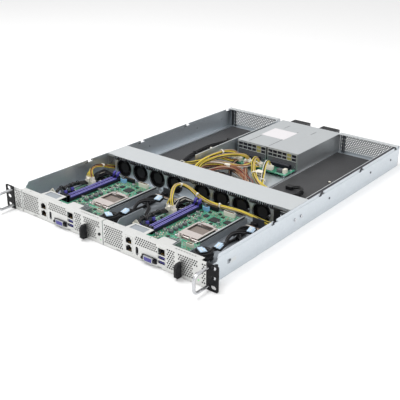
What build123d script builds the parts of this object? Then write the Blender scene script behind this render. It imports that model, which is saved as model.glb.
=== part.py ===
from build123d import *
import math
import os

# One-unit rack server with its covers off: two slide-in nodes at the front,
# a wall of eight fans, two power supplies and two empty drive bays behind.
# X runs to the right seen from the front, Y to the rear, Z up.
# Lengths are in mm. Inside this file Y counts from the front plane of the rack
# ears; save() moves everything so that the origin is under the chassis centre.

# Chassis
chassis_width = 438.0
chassis_depth = 650.0
sheet = 1.0
fan_size = 40.0
fan_headroom = 1.5
chassis_height = fan_size + fan_headroom + 2 * sheet
jog_drop = 5.6
jog_inset = 1.4
seat_gap = 0.3

# Side walls
notch_length = 9.0
notch_depth = 5.0
notch_pitch = 151.0
first_notch = 175.0
notch_count = 4
nose_length = 24.0
nose_height = 33.0
rail_hole_places = (356.0, 519.0, 610.0)
rail_hole_radius = 1.6

# Rack ears and their handles
ear_projection = 22.3
ear_sheet = 2.0
ear_leg = 24.0
rack_hole_from_edge = 8.75
rack_hole_pitch = 15.875
rack_hole_bottom = 6.35
rack_slot_width = 6.8
rack_slot_length = 10.0
handle_bar = 5.0
handle_reach = 33.0
handle_height = 30.0
handle_bend = 9.0
handle_inset = 4.2

# Nodes
filler_width = 20.0
flange_width = 10.0
node_gap = 0.8
tray_depth = 216.0
tray_lip = 6.0
panel_lip = 9.0
port_lip = 28.0
hex_pitch = 8.0
hex_across = 5.6
divider_start = 27.0
divider_length = 71.0
divider_height = 33.0

# Node boards
board_left = 6.0
board_width = 127.0
board_front = 3.0
board_back_margin = 2.0
board_sheet = 1.6
standoff_height = 4.1
standoff_radius = 3.0
partition_height = 9.5

# Processor socket
socket_across = 101.5
socket_along = 119.0
socket_body = 43.0
frame_width = 47.0
frame_length = 66.0
socket_height = 4.0
plate_sheet = 1.2
window_width = 34.5
window_length = 32.0
lever_bar = 2.2
lever_reach = 62.0

# Memory sockets
slot_across = 32.5
slot_pitch = 9.6
slot_front = 65.0
slot_length = 136.0
slot_width = 7.0
slot_height = 8.0
groove_width = 1.6
latch_width = 4.4
latch_height = 17.0
latch_pin = 1.0
pin_clearance = 0.06

# Ports on the node front, measured from the node's left edge and the floor
lan_across = 58.2
lan_width = 23.0
jack_width = 12.5
jack_height = 11.0
jack_depth = 14.0
lan_low = 8.8
lan_high = 22.3
display_across = 75.4
display_width = 5.8
display_height = 15.0
vga_across = 101.5
vga_width = 30.0
vga_height = 9.6
usb_across = 126.7
usb_width = 14.4
usb_height = 5.4
usb_depth = 13.0
stack_length = 27.0
port_wall = 0.8

# Controls on the node front, measured from the node's right edge
button_from_edge = 8.4
button_height = 17.0
button_radius = 2.4
button_travel = 1.2
button_clearance = 0.3
tab_from_edge = 40.2
tab_width = 4.6
tab_reach = 13.0
tab_height = 26.0

# Power plug on the node board
plug_across = 16.5
plug_along = 149.0
plug_width = 19.0
plug_length = 10.0
plug_height = 11.0
plug_rise = 7.0

# Fans
fan_depth = 28.0
fan_pitch = 44.0
fan_middle_gap = 66.0
fan_bank_shift = -8.0
cable_lane = 15.5
fan_bar_depth = 57.0
fan_bore = 37.6
fan_opening = 36.6
hub_radius = 10.5
hub_length = 21.0
hub_wall = 1.2
tip_clearance = 0.6
blade_count = 5
blade_sheet = 1.1
blade_root_chord = 16.0
blade_tip_chord = 18.0
blade_root_angle = 35.0
blade_tip_angle = 57.0
shaft_radius = 1.5
shaft_clearance = 0.05
strut_width = 2.4
cable_gap_left = 21.0
cable_gap_right = 38.0

# Power supplies and their cage
psu_length = 178.0
psu_width = 72.0
psu_height = 39.2
psu_clearance = 0.5
cage_shift = 7.0
cage_divider = 2.0
psu_grid_columns = 7
psu_grid_rows = 3
psu_grid_bar = 1.6
psu_grid_bottom = 18.0
handle_tab_width = 42.0
handle_tab_reach = 25.0
handle_tab_sheet = 2.5
inlet_across = 17.0
latch_travel = 3.0
latch_tab_width = 7.0
latch_tab_height = 6.0
latch_tab_reach = 12.0
tongue_reach = 8.0
tongue_sheet = 1.6
tongue_height = 12.5

# Drive bays and the wall between bay and power supplies
bay_wall_gap = 7.0
bay_wall_lead = 135.0
bay_wall_height = 42.0
film_sheet = 0.5
film_gap = 5.5
film_margin = 15.0
rail_height = 3.0

# Power distribution board
power_board_depth = 39.0
header_pitch = 26.0
header_width = 17.0
header_length = 10.0
header_rise = 9.0
header_margin = 3.0
edge_socket_length = 10.0
power_board_height = 6.0

# Rear panels
rear_lip = 12.0
rear_hex_pitch = 12.0
rear_hex_across = 8.4

# Fasteners and cables
screw_head_radius = 2.9
screw_head_height = 1.5
screw_radius = 1.4
screw_length = 4.2
screw_clearance = 0.25
trunk_diameter = 7.0
lead_diameter = 5.0
tie_sheet = 1.3
tie_width = 2.6

half_width = chassis_width / 2
ear_span = chassis_width + 2 * ear_projection
rack_hole_spacing = ear_span - 2 * rack_hole_from_edge
node_width = (chassis_width - filler_width - flange_width) / 2
left_node = -half_width + filler_width
node_edges = {"left": left_node, "right": left_node + node_width}
floor_top = sheet
tray_bottom = floor_top + seat_gap
tray_top = tray_bottom + sheet
board_bottom = tray_top + standoff_height
board_top = board_bottom + board_sheet
board_length = tray_depth - board_back_margin - board_front
fan_axis_height = floor_top + fan_size / 2
fan_top = floor_top + fan_size
fan_wall_front = tray_depth + cable_lane
fan_wall_back = fan_wall_front + sheet
fan_wall_width = chassis_width - cable_gap_left - cable_gap_right
fan_side_room = (fan_wall_width - fan_middle_gap - fan_size) / 2
fans_per_side = 1 + int(fan_side_room / fan_pitch)
fan_front = fan_wall_back + seat_gap
rear_wall_front = chassis_depth - sheet
cage_front = rear_wall_front - psu_length
cage_inner_width = 2 * psu_width + 4 * psu_clearance + cage_divider
cage_left = cage_shift - cage_inner_width / 2 - sheet
cage_right = cage_shift + cage_inner_width / 2 + sheet
bay_wall_across = cage_left - bay_wall_gap
bay_wall_front = cage_front - bay_wall_lead
film_front = fan_wall_front - 2 * sheet + fan_bar_depth + film_gap
power_board_front = cage_front - power_board_depth
psu_bottom = floor_top + seat_gap
psu_top = psu_bottom + psu_height
cage_top = psu_top + psu_clearance + sheet
psu_lefts = {
    "left": cage_left + sheet + psu_clearance,
    "right": cage_shift + cage_divider / 2 + psu_clearance,
}
rack_hole_heights = [rack_hole_bottom + i * rack_hole_pitch for i in range(3)]


def save(name, *solids):
    shape = Compound(children=[s for piece in solids for s in piece.solids()])
    moved = Pos(0, -chassis_depth / 2, 0) * shape
    export_step(moved, "parts/" + name + ".step")


def block(x0, x1, y0, y1, z0, z1):
    middle = Pos((x0 + x1) / 2, (y0 + y1) / 2, (z0 + z1) / 2)
    return middle * Box(x1 - x0, y1 - y0, z1 - z0)


def rod_along_y(x, z, radius, y0, y1):
    place = Pos(x, (y0 + y1) / 2, z) * Rot(X=90)
    return place * Cylinder(radius, y1 - y0)


def rod_along_x(y, z, radius, x0, x1):
    place = Pos((x0 + x1) / 2, y, z) * Rot(Y=90)
    return place * Cylinder(radius, x1 - x0)


def rectangle_wire(x0, x1, z0, z1):
    corners = [(x0, z0), (x1, z0), (x1, z1), (x0, z1)]
    return Wire.make_polygon(corners, close=True)


def hexagon_wire(x, z, across):
    radius = across / math.sqrt(3)
    turns = [math.radians(30 + 60 * i) for i in range(6)]
    corners = [(x + radius * math.cos(t), z + radius * math.sin(t)) for t in turns]
    return Wire.make_polygon(corners, close=True)


def circle_wire(x, z, radius):
    return Wire.make_circle(radius, Plane((x, z, 0)))


def slot_wire(x, z, length, width):
    reach = (length - width) / 2
    r = width / 2
    edges = [
        Line((x - reach, z - r), (x + reach, z - r)),
        ThreePointArc((x + reach, z - r), (x + reach + r, z), (x + reach, z + r)),
        Line((x + reach, z + r), (x - reach, z + r)),
        ThreePointArc((x - reach, z + r), (x - reach - r, z), (x - reach, z - r)),
    ]
    return Wire([edge.edge() for edge in edges])


def hexagon_field(x0, x1, z0, z1, pitch, across):
    """Staggered hexagons that fit inside a rectangle, as a list of wires."""
    row_step = pitch * math.sqrt(3) / 2
    rows = int((z1 - z0 - across) / row_step + 0.001) + 1
    columns = int((x1 - x0 - across) / pitch + 0.001) + 1
    low = (z0 + z1 - (rows - 1) * row_step) / 2
    left = (x0 + x1 - (columns - 1) * pitch) / 2
    wires = []
    for row in range(rows):
        odd = row % 2
        for column in range(columns - odd):
            x = left + (column + odd / 2) * pitch
            wires.append(hexagon_wire(x, low + row * row_step, across))
    return wires


def upright_plate(outline, holes, y0, y1):
    """A plate that faces the front, from y0 to y1, drawn in X and Z."""
    back = Plane(origin=(0, y1, 0), x_dir=(1, 0, 0), z_dir=(0, -1, 0))
    face = back * Face(outline, holes)
    return extrude(face, y1 - y0, dir=(0, -1, 0))


def side_plate(points, x0, x1):
    """A plate that faces sideways, from x0 to x1, drawn in Y and Z."""
    plane = Plane(origin=(x0, 0, 0), x_dir=(0, 1, 0), z_dir=(1, 0, 0))
    face = plane * Face(Wire.make_polygon(points, close=True))
    return extrude(face, x1 - x0, dir=(1, 0, 0))


def profile_along_y(points, y0, y1):
    return upright_plate(Wire.make_polygon(points, close=True), [], y0, y1)


# Chassis

def side_screw_places():
    """Side, Y and Z of each screw that goes in from a side wall."""
    bar_screws = [fan_wall_front + 8, fan_wall_front + 28]
    ear_screws = [ear_leg * 0.62]
    places = []
    for side in (-1, 1):
        places += [(side, y, fan_axis_height + 2) for y in bar_screws]
        places += [(side, y, z) for y in ear_screws for z in (11.0, 27.0)]
    return places


def side_screw_bores(radius):
    outer = half_width + ear_sheet + 1
    inner = half_width - screw_length - 2
    bores = []
    for side, y, z in side_screw_places():
        low, high = sorted((side * inner, side * outer))
        bores.append(rod_along_x(y, z, radius, low, high))
    return bores


def side_wall(side):
    """Upright wall whose top steps inwards to take the cover's skirt."""
    outer = half_width
    top = chassis_height
    knee = top - jog_drop
    profile = [
        (side * outer, 0),
        (side * outer, knee),
        (side * (outer - jog_inset), knee + jog_inset),
        (side * (outer - jog_inset), top),
        (side * (outer - jog_inset - sheet), top),
        (side * (outer - jog_inset - sheet), knee + jog_inset * 0.6),
        (side * (outer - sheet), knee - jog_inset * 0.4),
        (side * (outer - sheet), 0),
    ]
    wall = profile_along_y(profile, 0, rear_wall_front - seat_gap)
    inner_x = outer - jog_inset - sheet - 1
    low, high = sorted((side * inner_x, side * (outer + 1)))
    nose = [
        (-1, nose_height),
        (nose_length, nose_height),
        (nose_length + 7, top + 1),
        (-1, top + 1),
    ]
    wall -= side_plate(nose, low, high)
    for i in range(notch_count):
        start = first_notch + i * notch_pitch
        mouth = top - notch_depth
        wall -= block(low, high, start, start + notch_length, mouth, top + 1)
        wall -= block(low, high, start, start + notch_length + 4, mouth, mouth + 2)
    for y in rail_hole_places:
        wall -= rod_along_x(y, fan_axis_height + 2, rail_hole_radius, low, high)
    return wall


def louvre_cut():
    """The pressed finger slot near the front of the right wall."""
    return block(half_width - 3, half_width + 1, 50, 56, 18, 26)


def louvre_dimple():
    points = [(56, 18), (70, 20), (70, 24), (56, 26)]
    return side_plate(points, half_width - 1.4, half_width - sheet)


def filler_strip():
    x0 = -half_width + sheet
    x1 = left_node - seat_gap
    outline = rectangle_wire(x0, x1, floor_top, nose_height)
    holes = hexagon_field(x0 + 1, x1 - 1, 4, nose_height - 1, hex_pitch, hex_across)
    return upright_plate(outline, holes, 0, sheet)


def right_strip():
    x0 = left_node + 2 * node_width + seat_gap
    return block(x0, half_width - sheet, 0, sheet, floor_top, nose_height)


def chassis_base():
    floor_front = sheet + seat_gap
    base = block(-half_width, half_width, floor_front, rear_wall_front - seat_gap, 0, sheet)
    base += block(-half_width, left_node - seat_gap, 0, floor_front, 0, sheet)
    base += block(left_node + 2 * node_width + seat_gap, half_width, 0, floor_front, 0, sheet)
    for side in (-1, 1):
        base += side_wall(side)
    base += filler_strip()
    base += right_strip()
    base -= louvre_cut()
    base += louvre_dimple()
    rail_x = half_width - film_margin - sheet
    rail_end = rear_wall_front - rear_lip - seat_gap
    for side in (-1, 1):
        low, high = sorted((side * rail_x, side * (rail_x - sheet)))
        base += block(low, high, film_front, rail_end, sheet, sheet + rail_height)
    return base - side_screw_bores(screw_radius + screw_clearance)


def rear_panel(x0, x1, side):
    """Perforated panel with a folded top lip and a folded outer post."""
    top = chassis_height
    outline = rectangle_wire(x0, x1, 0, top)
    margin = rear_lip * 0.8
    if side < 0:
        holes_x = (x0 + margin, x1 - 3)
        post = (x0, x0 + sheet)
        lip = (x0 + sheet + jog_inset, x1)
    else:
        holes_x = (x0 + 3, x1 - margin)
        post = (x1 - sheet, x1)
        lip = (x0, x1 - sheet - jog_inset)
    holes = hexagon_field(*holes_x, 4, top - 4, rear_hex_pitch, rear_hex_across)
    panel = upright_plate(outline, holes, rear_wall_front, chassis_depth)
    panel += block(*lip, rear_wall_front - rear_lip, rear_wall_front, top - sheet, top)
    inset = side * (jog_inset + sheet + seat_gap)
    post_low, post_high = post[0] - inset, post[1] - inset
    panel += block(post_low, post_high, rear_wall_front - rear_lip, rear_wall_front,
                   floor_top, top - sheet)
    return panel


def rear_panels():
    left = rear_panel(-half_width, bay_wall_across - sheet - seat_gap, -1)
    right = rear_panel(cage_right + seat_gap, half_width, 1)
    return left, right


def rack_ear(side):
    outer = ear_span / 2
    inner = half_width + seat_gap
    low, high = sorted((side * inner, side * outer))
    outline = rectangle_wire(low, high, 0, chassis_height)
    hole_x = side * rack_hole_spacing / 2
    holes = [
        slot_wire(hole_x, z, rack_slot_length, rack_slot_width)
        for z in rack_hole_heights
    ]
    ear = upright_plate(outline, holes, -ear_sheet, 0)
    corners = ear.edges().filter_by(Axis.Y).group_by(Axis.X)[-1 if side > 0 else 0]
    ear = fillet(corners, 3.0)
    leg_low, leg_high = sorted((side * inner, side * (inner + ear_sheet)))
    leg = [(0, 0.5), (ear_leg, 3), (ear_leg, nose_height - 3), (0, nose_height)]
    ear += side_plate(leg, leg_low, leg_high)
    return ear - side_screw_bores(screw_radius + screw_clearance)


def ear_handle(side):
    """Bent round bar that stands out of the ear, riveted behind it."""
    x = side * (half_width + handle_inset)
    low = (chassis_height - handle_height) / 2
    high = low + handle_height
    route = FilletPolyline(
        (x, -ear_sheet, low), (x, -ear_sheet - handle_reach, low),
        (x, -ear_sheet - handle_reach, high), (x, -ear_sheet, high),
        radius=handle_bend,
    )
    start = Plane(origin=(x, -ear_sheet, low), z_dir=(0, -1, 0))
    return sweep(start * Circle(handle_bar / 2), path=route)


def node_divider():
    x = node_edges["right"]
    top = divider_height
    end = divider_start + divider_length
    points = [
        (divider_start, floor_top), (end, floor_top), (end, top - 3),
        (end - 3, top), (divider_start + 12, top), (divider_start, top - 12),
    ]
    plate = side_plate(points, x - sheet / 2, x + sheet / 2)
    hole = rod_along_x(divider_start + 22, 16, 2.4, x - 2, x + 2)
    return plate - hole


def side_screws():
    heads = []
    for side, y, z in side_screw_places():
        face = half_width
        if y < ear_leg:
            face = half_width + seat_gap + ear_sheet
        head_low, head_high = sorted((side * face, side * (face + screw_head_height)))
        head = rod_along_x(y, z, screw_head_radius, head_low, head_high)
        low, high = sorted((side * face, side * (face - screw_length)))
        heads.append(head + rod_along_x(y, z, screw_radius, low, high))
    return heads


# Fan wall

def fan_positions():
    half_gap = fan_middle_gap / 2
    right = [half_gap + i * fan_pitch for i in range(fans_per_side)]
    left = [-x for x in reversed(right)]
    return [fan_bank_shift + x for x in left + right]


def fan_wall():
    x0 = -half_width + cable_gap_left
    x1 = half_width - cable_gap_right
    top = fan_top
    outline = rectangle_wire(x0, x1, floor_top, top)
    holes = [circle_wire(x, fan_axis_height, fan_opening / 2) for x in fan_positions()]
    wall = upright_plate(outline, holes, fan_wall_front, fan_wall_back)
    return wall + block(x0, x1, fan_wall_front - 8, fan_wall_front, floor_top,
                        floor_top + sheet)


def fan_bar():
    """Cover over the fans with a slotted back and a leg at each wall."""
    inner = half_width - jog_inset - sheet - seat_gap
    top = chassis_height
    front = fan_wall_front - 2 * sheet
    back = front + fan_bar_depth
    bar = block(-inner, inner, front, back, top - sheet, top)
    bar += block(-inner, inner, front, front + sheet, fan_top - 2, top - sheet)
    x0 = -half_width + cable_gap_left
    x1 = half_width - cable_gap_right
    outline = rectangle_wire(x0, x1, floor_top, top - sheet)
    reach = fan_size / 2 - 2
    windows = [
        rectangle_wire(x - reach, x + reach, floor_top + 4, fan_top - 4)
        for x in fan_positions()
    ]
    bar += upright_plate(outline, windows, back - sheet, back)
    for side in (-1, 1):
        low, high = sorted((side * inner, side * (inner - sheet)))
        bar += block(low, high, front, back, floor_top, top - sheet)
    return bar - side_screw_bores(screw_radius + screw_clearance)


def fan_frame_at_origin():
    """Square housing with a round bore and a motor seat on four struts."""
    body = extrude(RectangleRounded(fan_size, fan_size, 2.0), fan_depth)
    body -= Pos(0, 0, fan_depth / 2) * Cylinder(fan_bore / 2, fan_depth + 2)
    strut_low = fan_depth - 5
    strut_high = fan_depth - 1
    for turn in (45, 135, 225, 315):
        strut = block(hub_radius - 2, fan_bore / 2 + 0.6, -strut_width / 2,
                      strut_width / 2, strut_low, strut_high)
        body += Rot(Z=turn) * strut
    seat_height = strut_high - strut_low
    body += Pos(0, 0, strut_low + seat_height / 2) * Cylinder(hub_radius, seat_height)
    post_low = 6.0
    post_height = strut_low - post_low
    post_radius = hub_radius - hub_wall - seat_gap
    body += Pos(0, 0, post_low + post_height / 2) * Cylinder(post_radius, post_height)
    bore_radius = shaft_radius + shaft_clearance
    bore_length = hub_length + 1 - post_low
    body -= Pos(0, 0, post_low + bore_length / 2) * Cylinder(bore_radius, bore_length)
    return body


def blade_section(radius, chord, angle, middle):
    """Thin rectangle across a blade, square to the radius."""
    lean = math.radians(angle)
    along = (chord / 2 * math.sin(lean), chord / 2 * math.cos(lean))
    across = (blade_sheet / 2 * math.cos(lean), -blade_sheet / 2 * math.sin(lean))
    corners = []
    for a, b in ((1, 1), (1, -1), (-1, -1), (-1, 1)):
        y = a * along[0] + b * across[0]
        z = a * along[1] + b * across[1] + middle
        corners.append((radius, y, z))
    return Wire.make_polygon(corners, close=True)


def fan_rotor_at_origin():
    """Hub cup, shaft and twisted blades, turning about Z, front at zero."""
    middle = hub_length / 2 + 1
    hub = Pos(0, 0, middle) * Cylinder(hub_radius, hub_length)
    cup_low = 5.0
    cup_height = hub_length + 2 - cup_low
    hub -= Pos(0, 0, cup_low + cup_height / 2) * Cylinder(hub_radius - hub_wall, cup_height)
    shaft_length = hub_length - cup_low
    hub += Pos(0, 0, cup_low + shaft_length / 2) * Cylinder(shaft_radius, shaft_length)
    tip = fan_bore / 2 - tip_clearance
    root = blade_section(hub_radius - 0.5, blade_root_chord, blade_root_angle, middle)
    end = blade_section(tip + 0.8, blade_tip_chord, blade_tip_angle, middle)
    blade = Solid.make_loft([root, end], ruled=True)
    blade = blade & (Pos(0, 0, middle) * Cylinder(tip, fan_depth))
    for i in range(blade_count):
        hub += Rot(Z=i * 360 / blade_count) * blade
    return hub


def place_fan(shape, x, y, z):
    """Turns a fan part so that its axis runs to the rear from y."""
    return Plane(origin=(x, y, z), x_dir=(1, 0, 0), z_dir=(0, 1, 0)) * shape


# Power supplies

def psu_cage():
    back = rear_wall_front
    cage = block(cage_left, cage_right, cage_front, back, cage_top - sheet, cage_top)
    for x0 in (cage_left, cage_right - sheet):
        cage += block(x0, x0 + sheet, cage_front, back, floor_top, cage_top - sheet)
    half = cage_divider / 2
    cage += block(cage_shift - half, cage_shift + half, cage_front, back,
                  floor_top, cage_top - sheet)
    line_end = film_front + 4
    cage += block(cage_right - sheet, cage_right, line_end, cage_front, floor_top,
                  floor_top + rail_height)
    slit = 0.6
    for x in (cage_left + 24, cage_shift):
        cage -= block(x - slit, x + slit, cage_front + 6, cage_front + 78,
                      psu_top + psu_clearance, cage_top + 1)
    for x in (cage_left + 36, cage_shift + 30):
        cage -= block(x - slit, x + slit, back - 52, back - 28,
                      psu_top + psu_clearance, cage_top + 1)
    return cage


def psu_bay_wall():
    wall = block(bay_wall_across - sheet, bay_wall_across, bay_wall_front, rear_wall_front,
                 floor_top, bay_wall_height)
    return wall + block(bay_wall_across, bay_wall_across + 5, bay_wall_front,
                        rear_wall_front, floor_top, floor_top + sheet)


def psu_grid(x0):
    """Square cells in the upper part of a supply's inner face."""
    columns = psu_grid_columns
    rows = psu_grid_rows
    width = psu_width - 2 * psu_grid_bar
    height = psu_top - psu_grid_bottom - psu_grid_bar
    step_x = width / columns
    step_z = height / rows
    cells = []
    for column in range(columns):
        for row in range(rows):
            x = x0 + psu_grid_bar + column * step_x
            z = psu_grid_bottom + row * step_z
            cells.append(rectangle_wire(x + psu_grid_bar / 2, x + step_x - psu_grid_bar / 2,
                                        z + psu_grid_bar / 2, z + step_z - psu_grid_bar / 2))
    return cells


def psu_fan_place(x0):
    x = x0 + psu_width - fan_size / 2 - 2
    return x, rear_wall_front - 2 - fan_depth, psu_bottom + psu_height / 2


def psu_module(x0):
    """Supply casing: inlet grid in front, fan, inlet and handle behind."""
    x1 = x0 + psu_width
    front = cage_front
    back = rear_wall_front + sheet
    skin = upright_plate(rectangle_wire(x0, x1, psu_bottom, psu_top), psu_grid(x0),
                         front, front + 4)
    module = skin + block(x0, x1, front + 4, back, psu_bottom, psu_top)
    fan_x, fan_y, fan_z = psu_fan_place(x0)
    module -= rod_along_y(fan_x, fan_z, fan_bore / 2, fan_y, back + 1)
    bearing = shaft_radius + shaft_clearance
    module += rod_along_y(fan_x, fan_z, 3.5, fan_y - 1, fan_y + 6)
    module -= rod_along_y(fan_x, fan_z, bearing, fan_y, fan_y + 7)
    inlet_x = x0 + inlet_across
    module -= block(inlet_x - 12, inlet_x + 12, back - 16, back + 1, 10, 28)
    module += block(inlet_x - 8, inlet_x + 8, back - 17, back - 4, 14, 24)
    module += psu_handle((x0 + x1) / 2, back)
    tongue_z = tongue_height
    module += block(x0 + 14, x1 - 14, front - tongue_reach, front, tongue_z,
                    tongue_z + tongue_sheet)
    return module - psu_latch_channel(x0)


def psu_handle(x, back):
    """Pull scoop: a roof, two cheeks and a turned-down rear lip."""
    half = handle_tab_width / 2
    top = psu_top - 0.4
    end = back + handle_tab_reach
    roof = block(x - half, x + half, back, end, top - handle_tab_sheet, top)
    lip = block(x - half, x + half, end - handle_tab_sheet, end, top - 13, top)
    cheeks = [
        side_plate([(back, top), (back, top - 15), (end, top - 13), (end, top)], low, low + 2)
        for low in (x - half, x + half - 2)
    ]
    return roof + lip + cheeks


def psu_latch_place(x0):
    return x0 + inlet_across, rear_wall_front + sheet, psu_bottom + latch_tab_height / 2 + 1.3


def psu_latch_channel(x0):
    x, back, z = psu_latch_place(x0)
    bar = latch_tab_width / 2 + latch_travel + seat_gap
    half = latch_tab_height / 2 + seat_gap
    return block(x - bar, x + bar, back - 5, back + 1, z - half, z + half)


def psu_latch(x0):
    """Thumb latch that slides sideways in a channel of the rear face."""
    x, back, z = psu_latch_place(x0)
    half = latch_tab_width / 2
    low = z - latch_tab_height / 2
    high = z + latch_tab_height / 2
    slide = block(x - half, x + half, back - 5 + seat_gap, back + 2, low, high)
    tab = [(x - half, low), (x + half, low), (x + half, high - 2), (x, high),
           (x - half, high - 2)]
    return slide + profile_along_y(tab, back + 2, back + latch_tab_reach)


def power_board():
    """Distribution board with card-edge sockets, headers and standoffs."""
    x0 = cage_left + 6
    x1 = cage_right - 4
    z0 = power_board_height
    z1 = z0 + board_sheet
    back = cage_front - 0.8
    pieces = [block(x0, x1, power_board_front, back, z0, z1)]
    for x in (x0 + 6, x1 - 6):
        for y in (power_board_front + 6, back - 6):
            post = Pos(x, y, (floor_top + z0) / 2) * Cylinder(standoff_radius, z0 - floor_top)
            pieces.append(post)
    for left in psu_lefts.values():
        low = left + 12
        high = left + psu_width - 12
        front = cage_front - edge_socket_length - 1
        socket = block(low, high, front, cage_front - 1, z1, z1 + header_rise)
        socket -= block(low + 2 - seat_gap, high - 2 + seat_gap, front + 2, cage_front,
                        tongue_height - seat_gap, tongue_height + tongue_sheet + seat_gap)
        pieces.append(socket)
    front = power_board_front + header_margin
    for i in range(5):
        left = x0 + header_length + i * header_pitch
        pieces.append(block(left, left + header_width, front, front + header_length,
                            z1, z1 + header_rise))
    return pieces


def bay_insulators():
    back = rear_wall_front - rear_lip - seat_gap
    rail_inner = half_width - film_margin - 2 * sheet - seat_gap
    left = block(-rail_inner, bay_wall_across - sheet - seat_gap, film_front, back,
                 floor_top, floor_top + film_sheet)
    right = block(cage_right + seat_gap, rail_inner, film_front, back,
                  floor_top, floor_top + film_sheet)
    return left, right


# Node pieces, drawn at the node's left edge x0

def node_tray(x0):
    left = x0 + node_gap
    right = x0 + node_width - node_gap
    tray = block(left, right, sheet, tray_depth, tray_bottom, tray_top)
    for low in (left, right - sheet):
        tray += block(low, low + sheet, sheet + 4, tray_depth, tray_top, tray_top + tray_lip)
    wall = x0 + board_left + board_width + 2
    top = board_bottom + partition_height - 4
    tray += block(wall, wall + sheet, 14, tray_depth - 4, tray_top, top)
    return tray


def front_panel(x0):
    left = x0 + node_gap
    right = x0 + node_width - node_gap
    top = chassis_height
    floor = seat_gap
    outline = rectangle_wire(left, right, floor, top)
    edge = x0 + node_width
    holes = hexagon_field(x0 + 3, x0 + 45, 4, 40, hex_pitch, hex_across)
    holes += hexagon_field(x0 + 80, x0 + 117, 20, 40, hex_pitch, hex_across)
    holes += hexagon_field(x0 + 137, x0 + 153, 6, 40, hex_pitch, hex_across)
    holes += hexagon_field(edge - tab_from_edge + 6, edge - 12, 4, 40, hex_pitch, hex_across)
    half_jack = jack_width / 2
    for z in (lan_low, lan_high):
        holes.append(rectangle_wire(x0 + lan_across - half_jack, x0 + lan_across + half_jack,
                                    z, z + jack_height))
    holes.append(slot_wire_upright(x0 + display_across, 14.5, display_height, display_width))
    holes.append(vga_wire(x0 + vga_across, 9.6, vga_width, vga_height))
    half_jack = usb_width / 2
    for z, height in stack_openings():
        holes.append(rectangle_wire(x0 + usb_across - half_jack, x0 + usb_across + half_jack,
                                    z, z + height))
    button_x = edge - button_from_edge
    hole_radius = button_radius + button_clearance
    holes.append(circle_wire(button_x, button_height, hole_radius))
    holes.append(circle_wire(button_x + 3, 8, 1.2))
    panel = upright_plate(outline, holes, 0, sheet)
    panel += block(left, right, sheet, panel_lip, top - sheet, top)
    panel += block(x0 + 65, x0 + 84, panel_lip, port_lip, top - sheet, top)
    panel += block(x0 + 112, x0 + 140, panel_lip, port_lip - 6, top - sheet, top)
    return panel, button_guide(button_x)


def slot_wire_upright(x, z, length, width):
    reach = (length - width) / 2
    r = width / 2
    edges = [
        Line((x + r, z - reach), (x + r, z + reach)),
        ThreePointArc((x + r, z + reach), (x, z + reach + r), (x - r, z + reach)),
        Line((x - r, z + reach), (x - r, z - reach)),
        ThreePointArc((x - r, z - reach), (x, z - reach - r), (x + r, z - reach)),
    ]
    return Wire([edge.edge() for edge in edges])


def vga_wire(x, z, width, height):
    """D outline, wider at the top, between its two hex posts."""
    top = width / 2 - 5
    low = top - 2
    h = height / 2
    corners = [(x - low, z - h), (x + low, z - h), (x + top, z + h), (x - top, z + h)]
    return Wire.make_polygon(corners, close=True)


def button_guide(x):
    z = button_height
    inner = button_radius + 1.3
    guide = block(x - 5, x + 5, sheet, sheet + 8, z - 5, z + 5)
    return guide - rod_along_y(x, z, inner, sheet - 1, sheet + 7)


def power_button(x0):
    x = x0 + node_width - button_from_edge
    z = button_height
    cap = rod_along_y(x, z, button_radius, -button_travel, sheet + 5)
    return cap + rod_along_y(x, z, button_radius + 1, sheet + seat_gap, sheet + seat_gap + 0.9)


def pull_tab(x0):
    x = x0 + node_width - tab_from_edge
    top = tab_height
    reach = tab_reach
    points = [(0, top), (-reach + 5, top), (-reach, top - 5), (-reach, 5),
              (-reach + 4, 1.4), (0, 1.4)]
    tab = side_plate(points, x - tab_width / 2, x + tab_width / 2)
    rims = tab.faces().sort_by(Axis.Y)[0].edges()
    return fillet(rims, 0.8)


def motherboard(x0):
    left = x0 + board_left
    right = left + board_width
    back = board_front + board_length
    pieces = [block(left, right, board_front, back, board_bottom, board_top)]
    for x in (left + 5, right - 5):
        for y in (board_front + 30, board_front + 110, back - 6):
            middle = Pos(x, y, (tray_top + board_bottom) / 2)
            pieces.append(middle * Cylinder(standoff_radius, standoff_height))
    for i in range(4):
        y = socket_along - 30 + i * 12
        pieces.append(block(x0 + 62, x0 + 69, y, y + 7, board_top, board_top + 5))
    for x, y, size in ((84, 168, 16), (110, 176, 12), (66, 176, 9), (64, 52, 14)):
        pieces.append(block(x0 + x, x0 + x + size, y, y + size, board_top, board_top + 1.6))
    pieces.append(board_heatsink(x0 + 88, 40))
    return pieces


def board_heatsink(x, y):
    """Small finned cooler on the controller hub."""
    width = 24.0
    sink = block(x, x + width, y, y + width, board_top, board_top + 3)
    fins = 6
    fin = 1.4
    step = (width - fin) / (fins - 1)
    for i in range(fins):
        start = x + i * step
        sink += block(start, start + fin, y, y + width, board_top + 3, board_top + 11)
    return sink


def stack_openings():
    """Bottom and height of each opening in the LAN and USB stack."""
    return [(board_top + 1.2, usb_height), (board_top + 9.2, usb_height),
            (board_top + 16.4, jack_height)]


def jack_shell(x0, x1, y0, y1, z0, z1, cavities):
    shell = block(x0, x1, y0, y1, z0, z1)
    for low, high, depth, bottom, height in cavities:
        shell -= block(low, high, y0 - 1, y0 + depth, bottom, bottom + height)
    return shell


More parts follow.
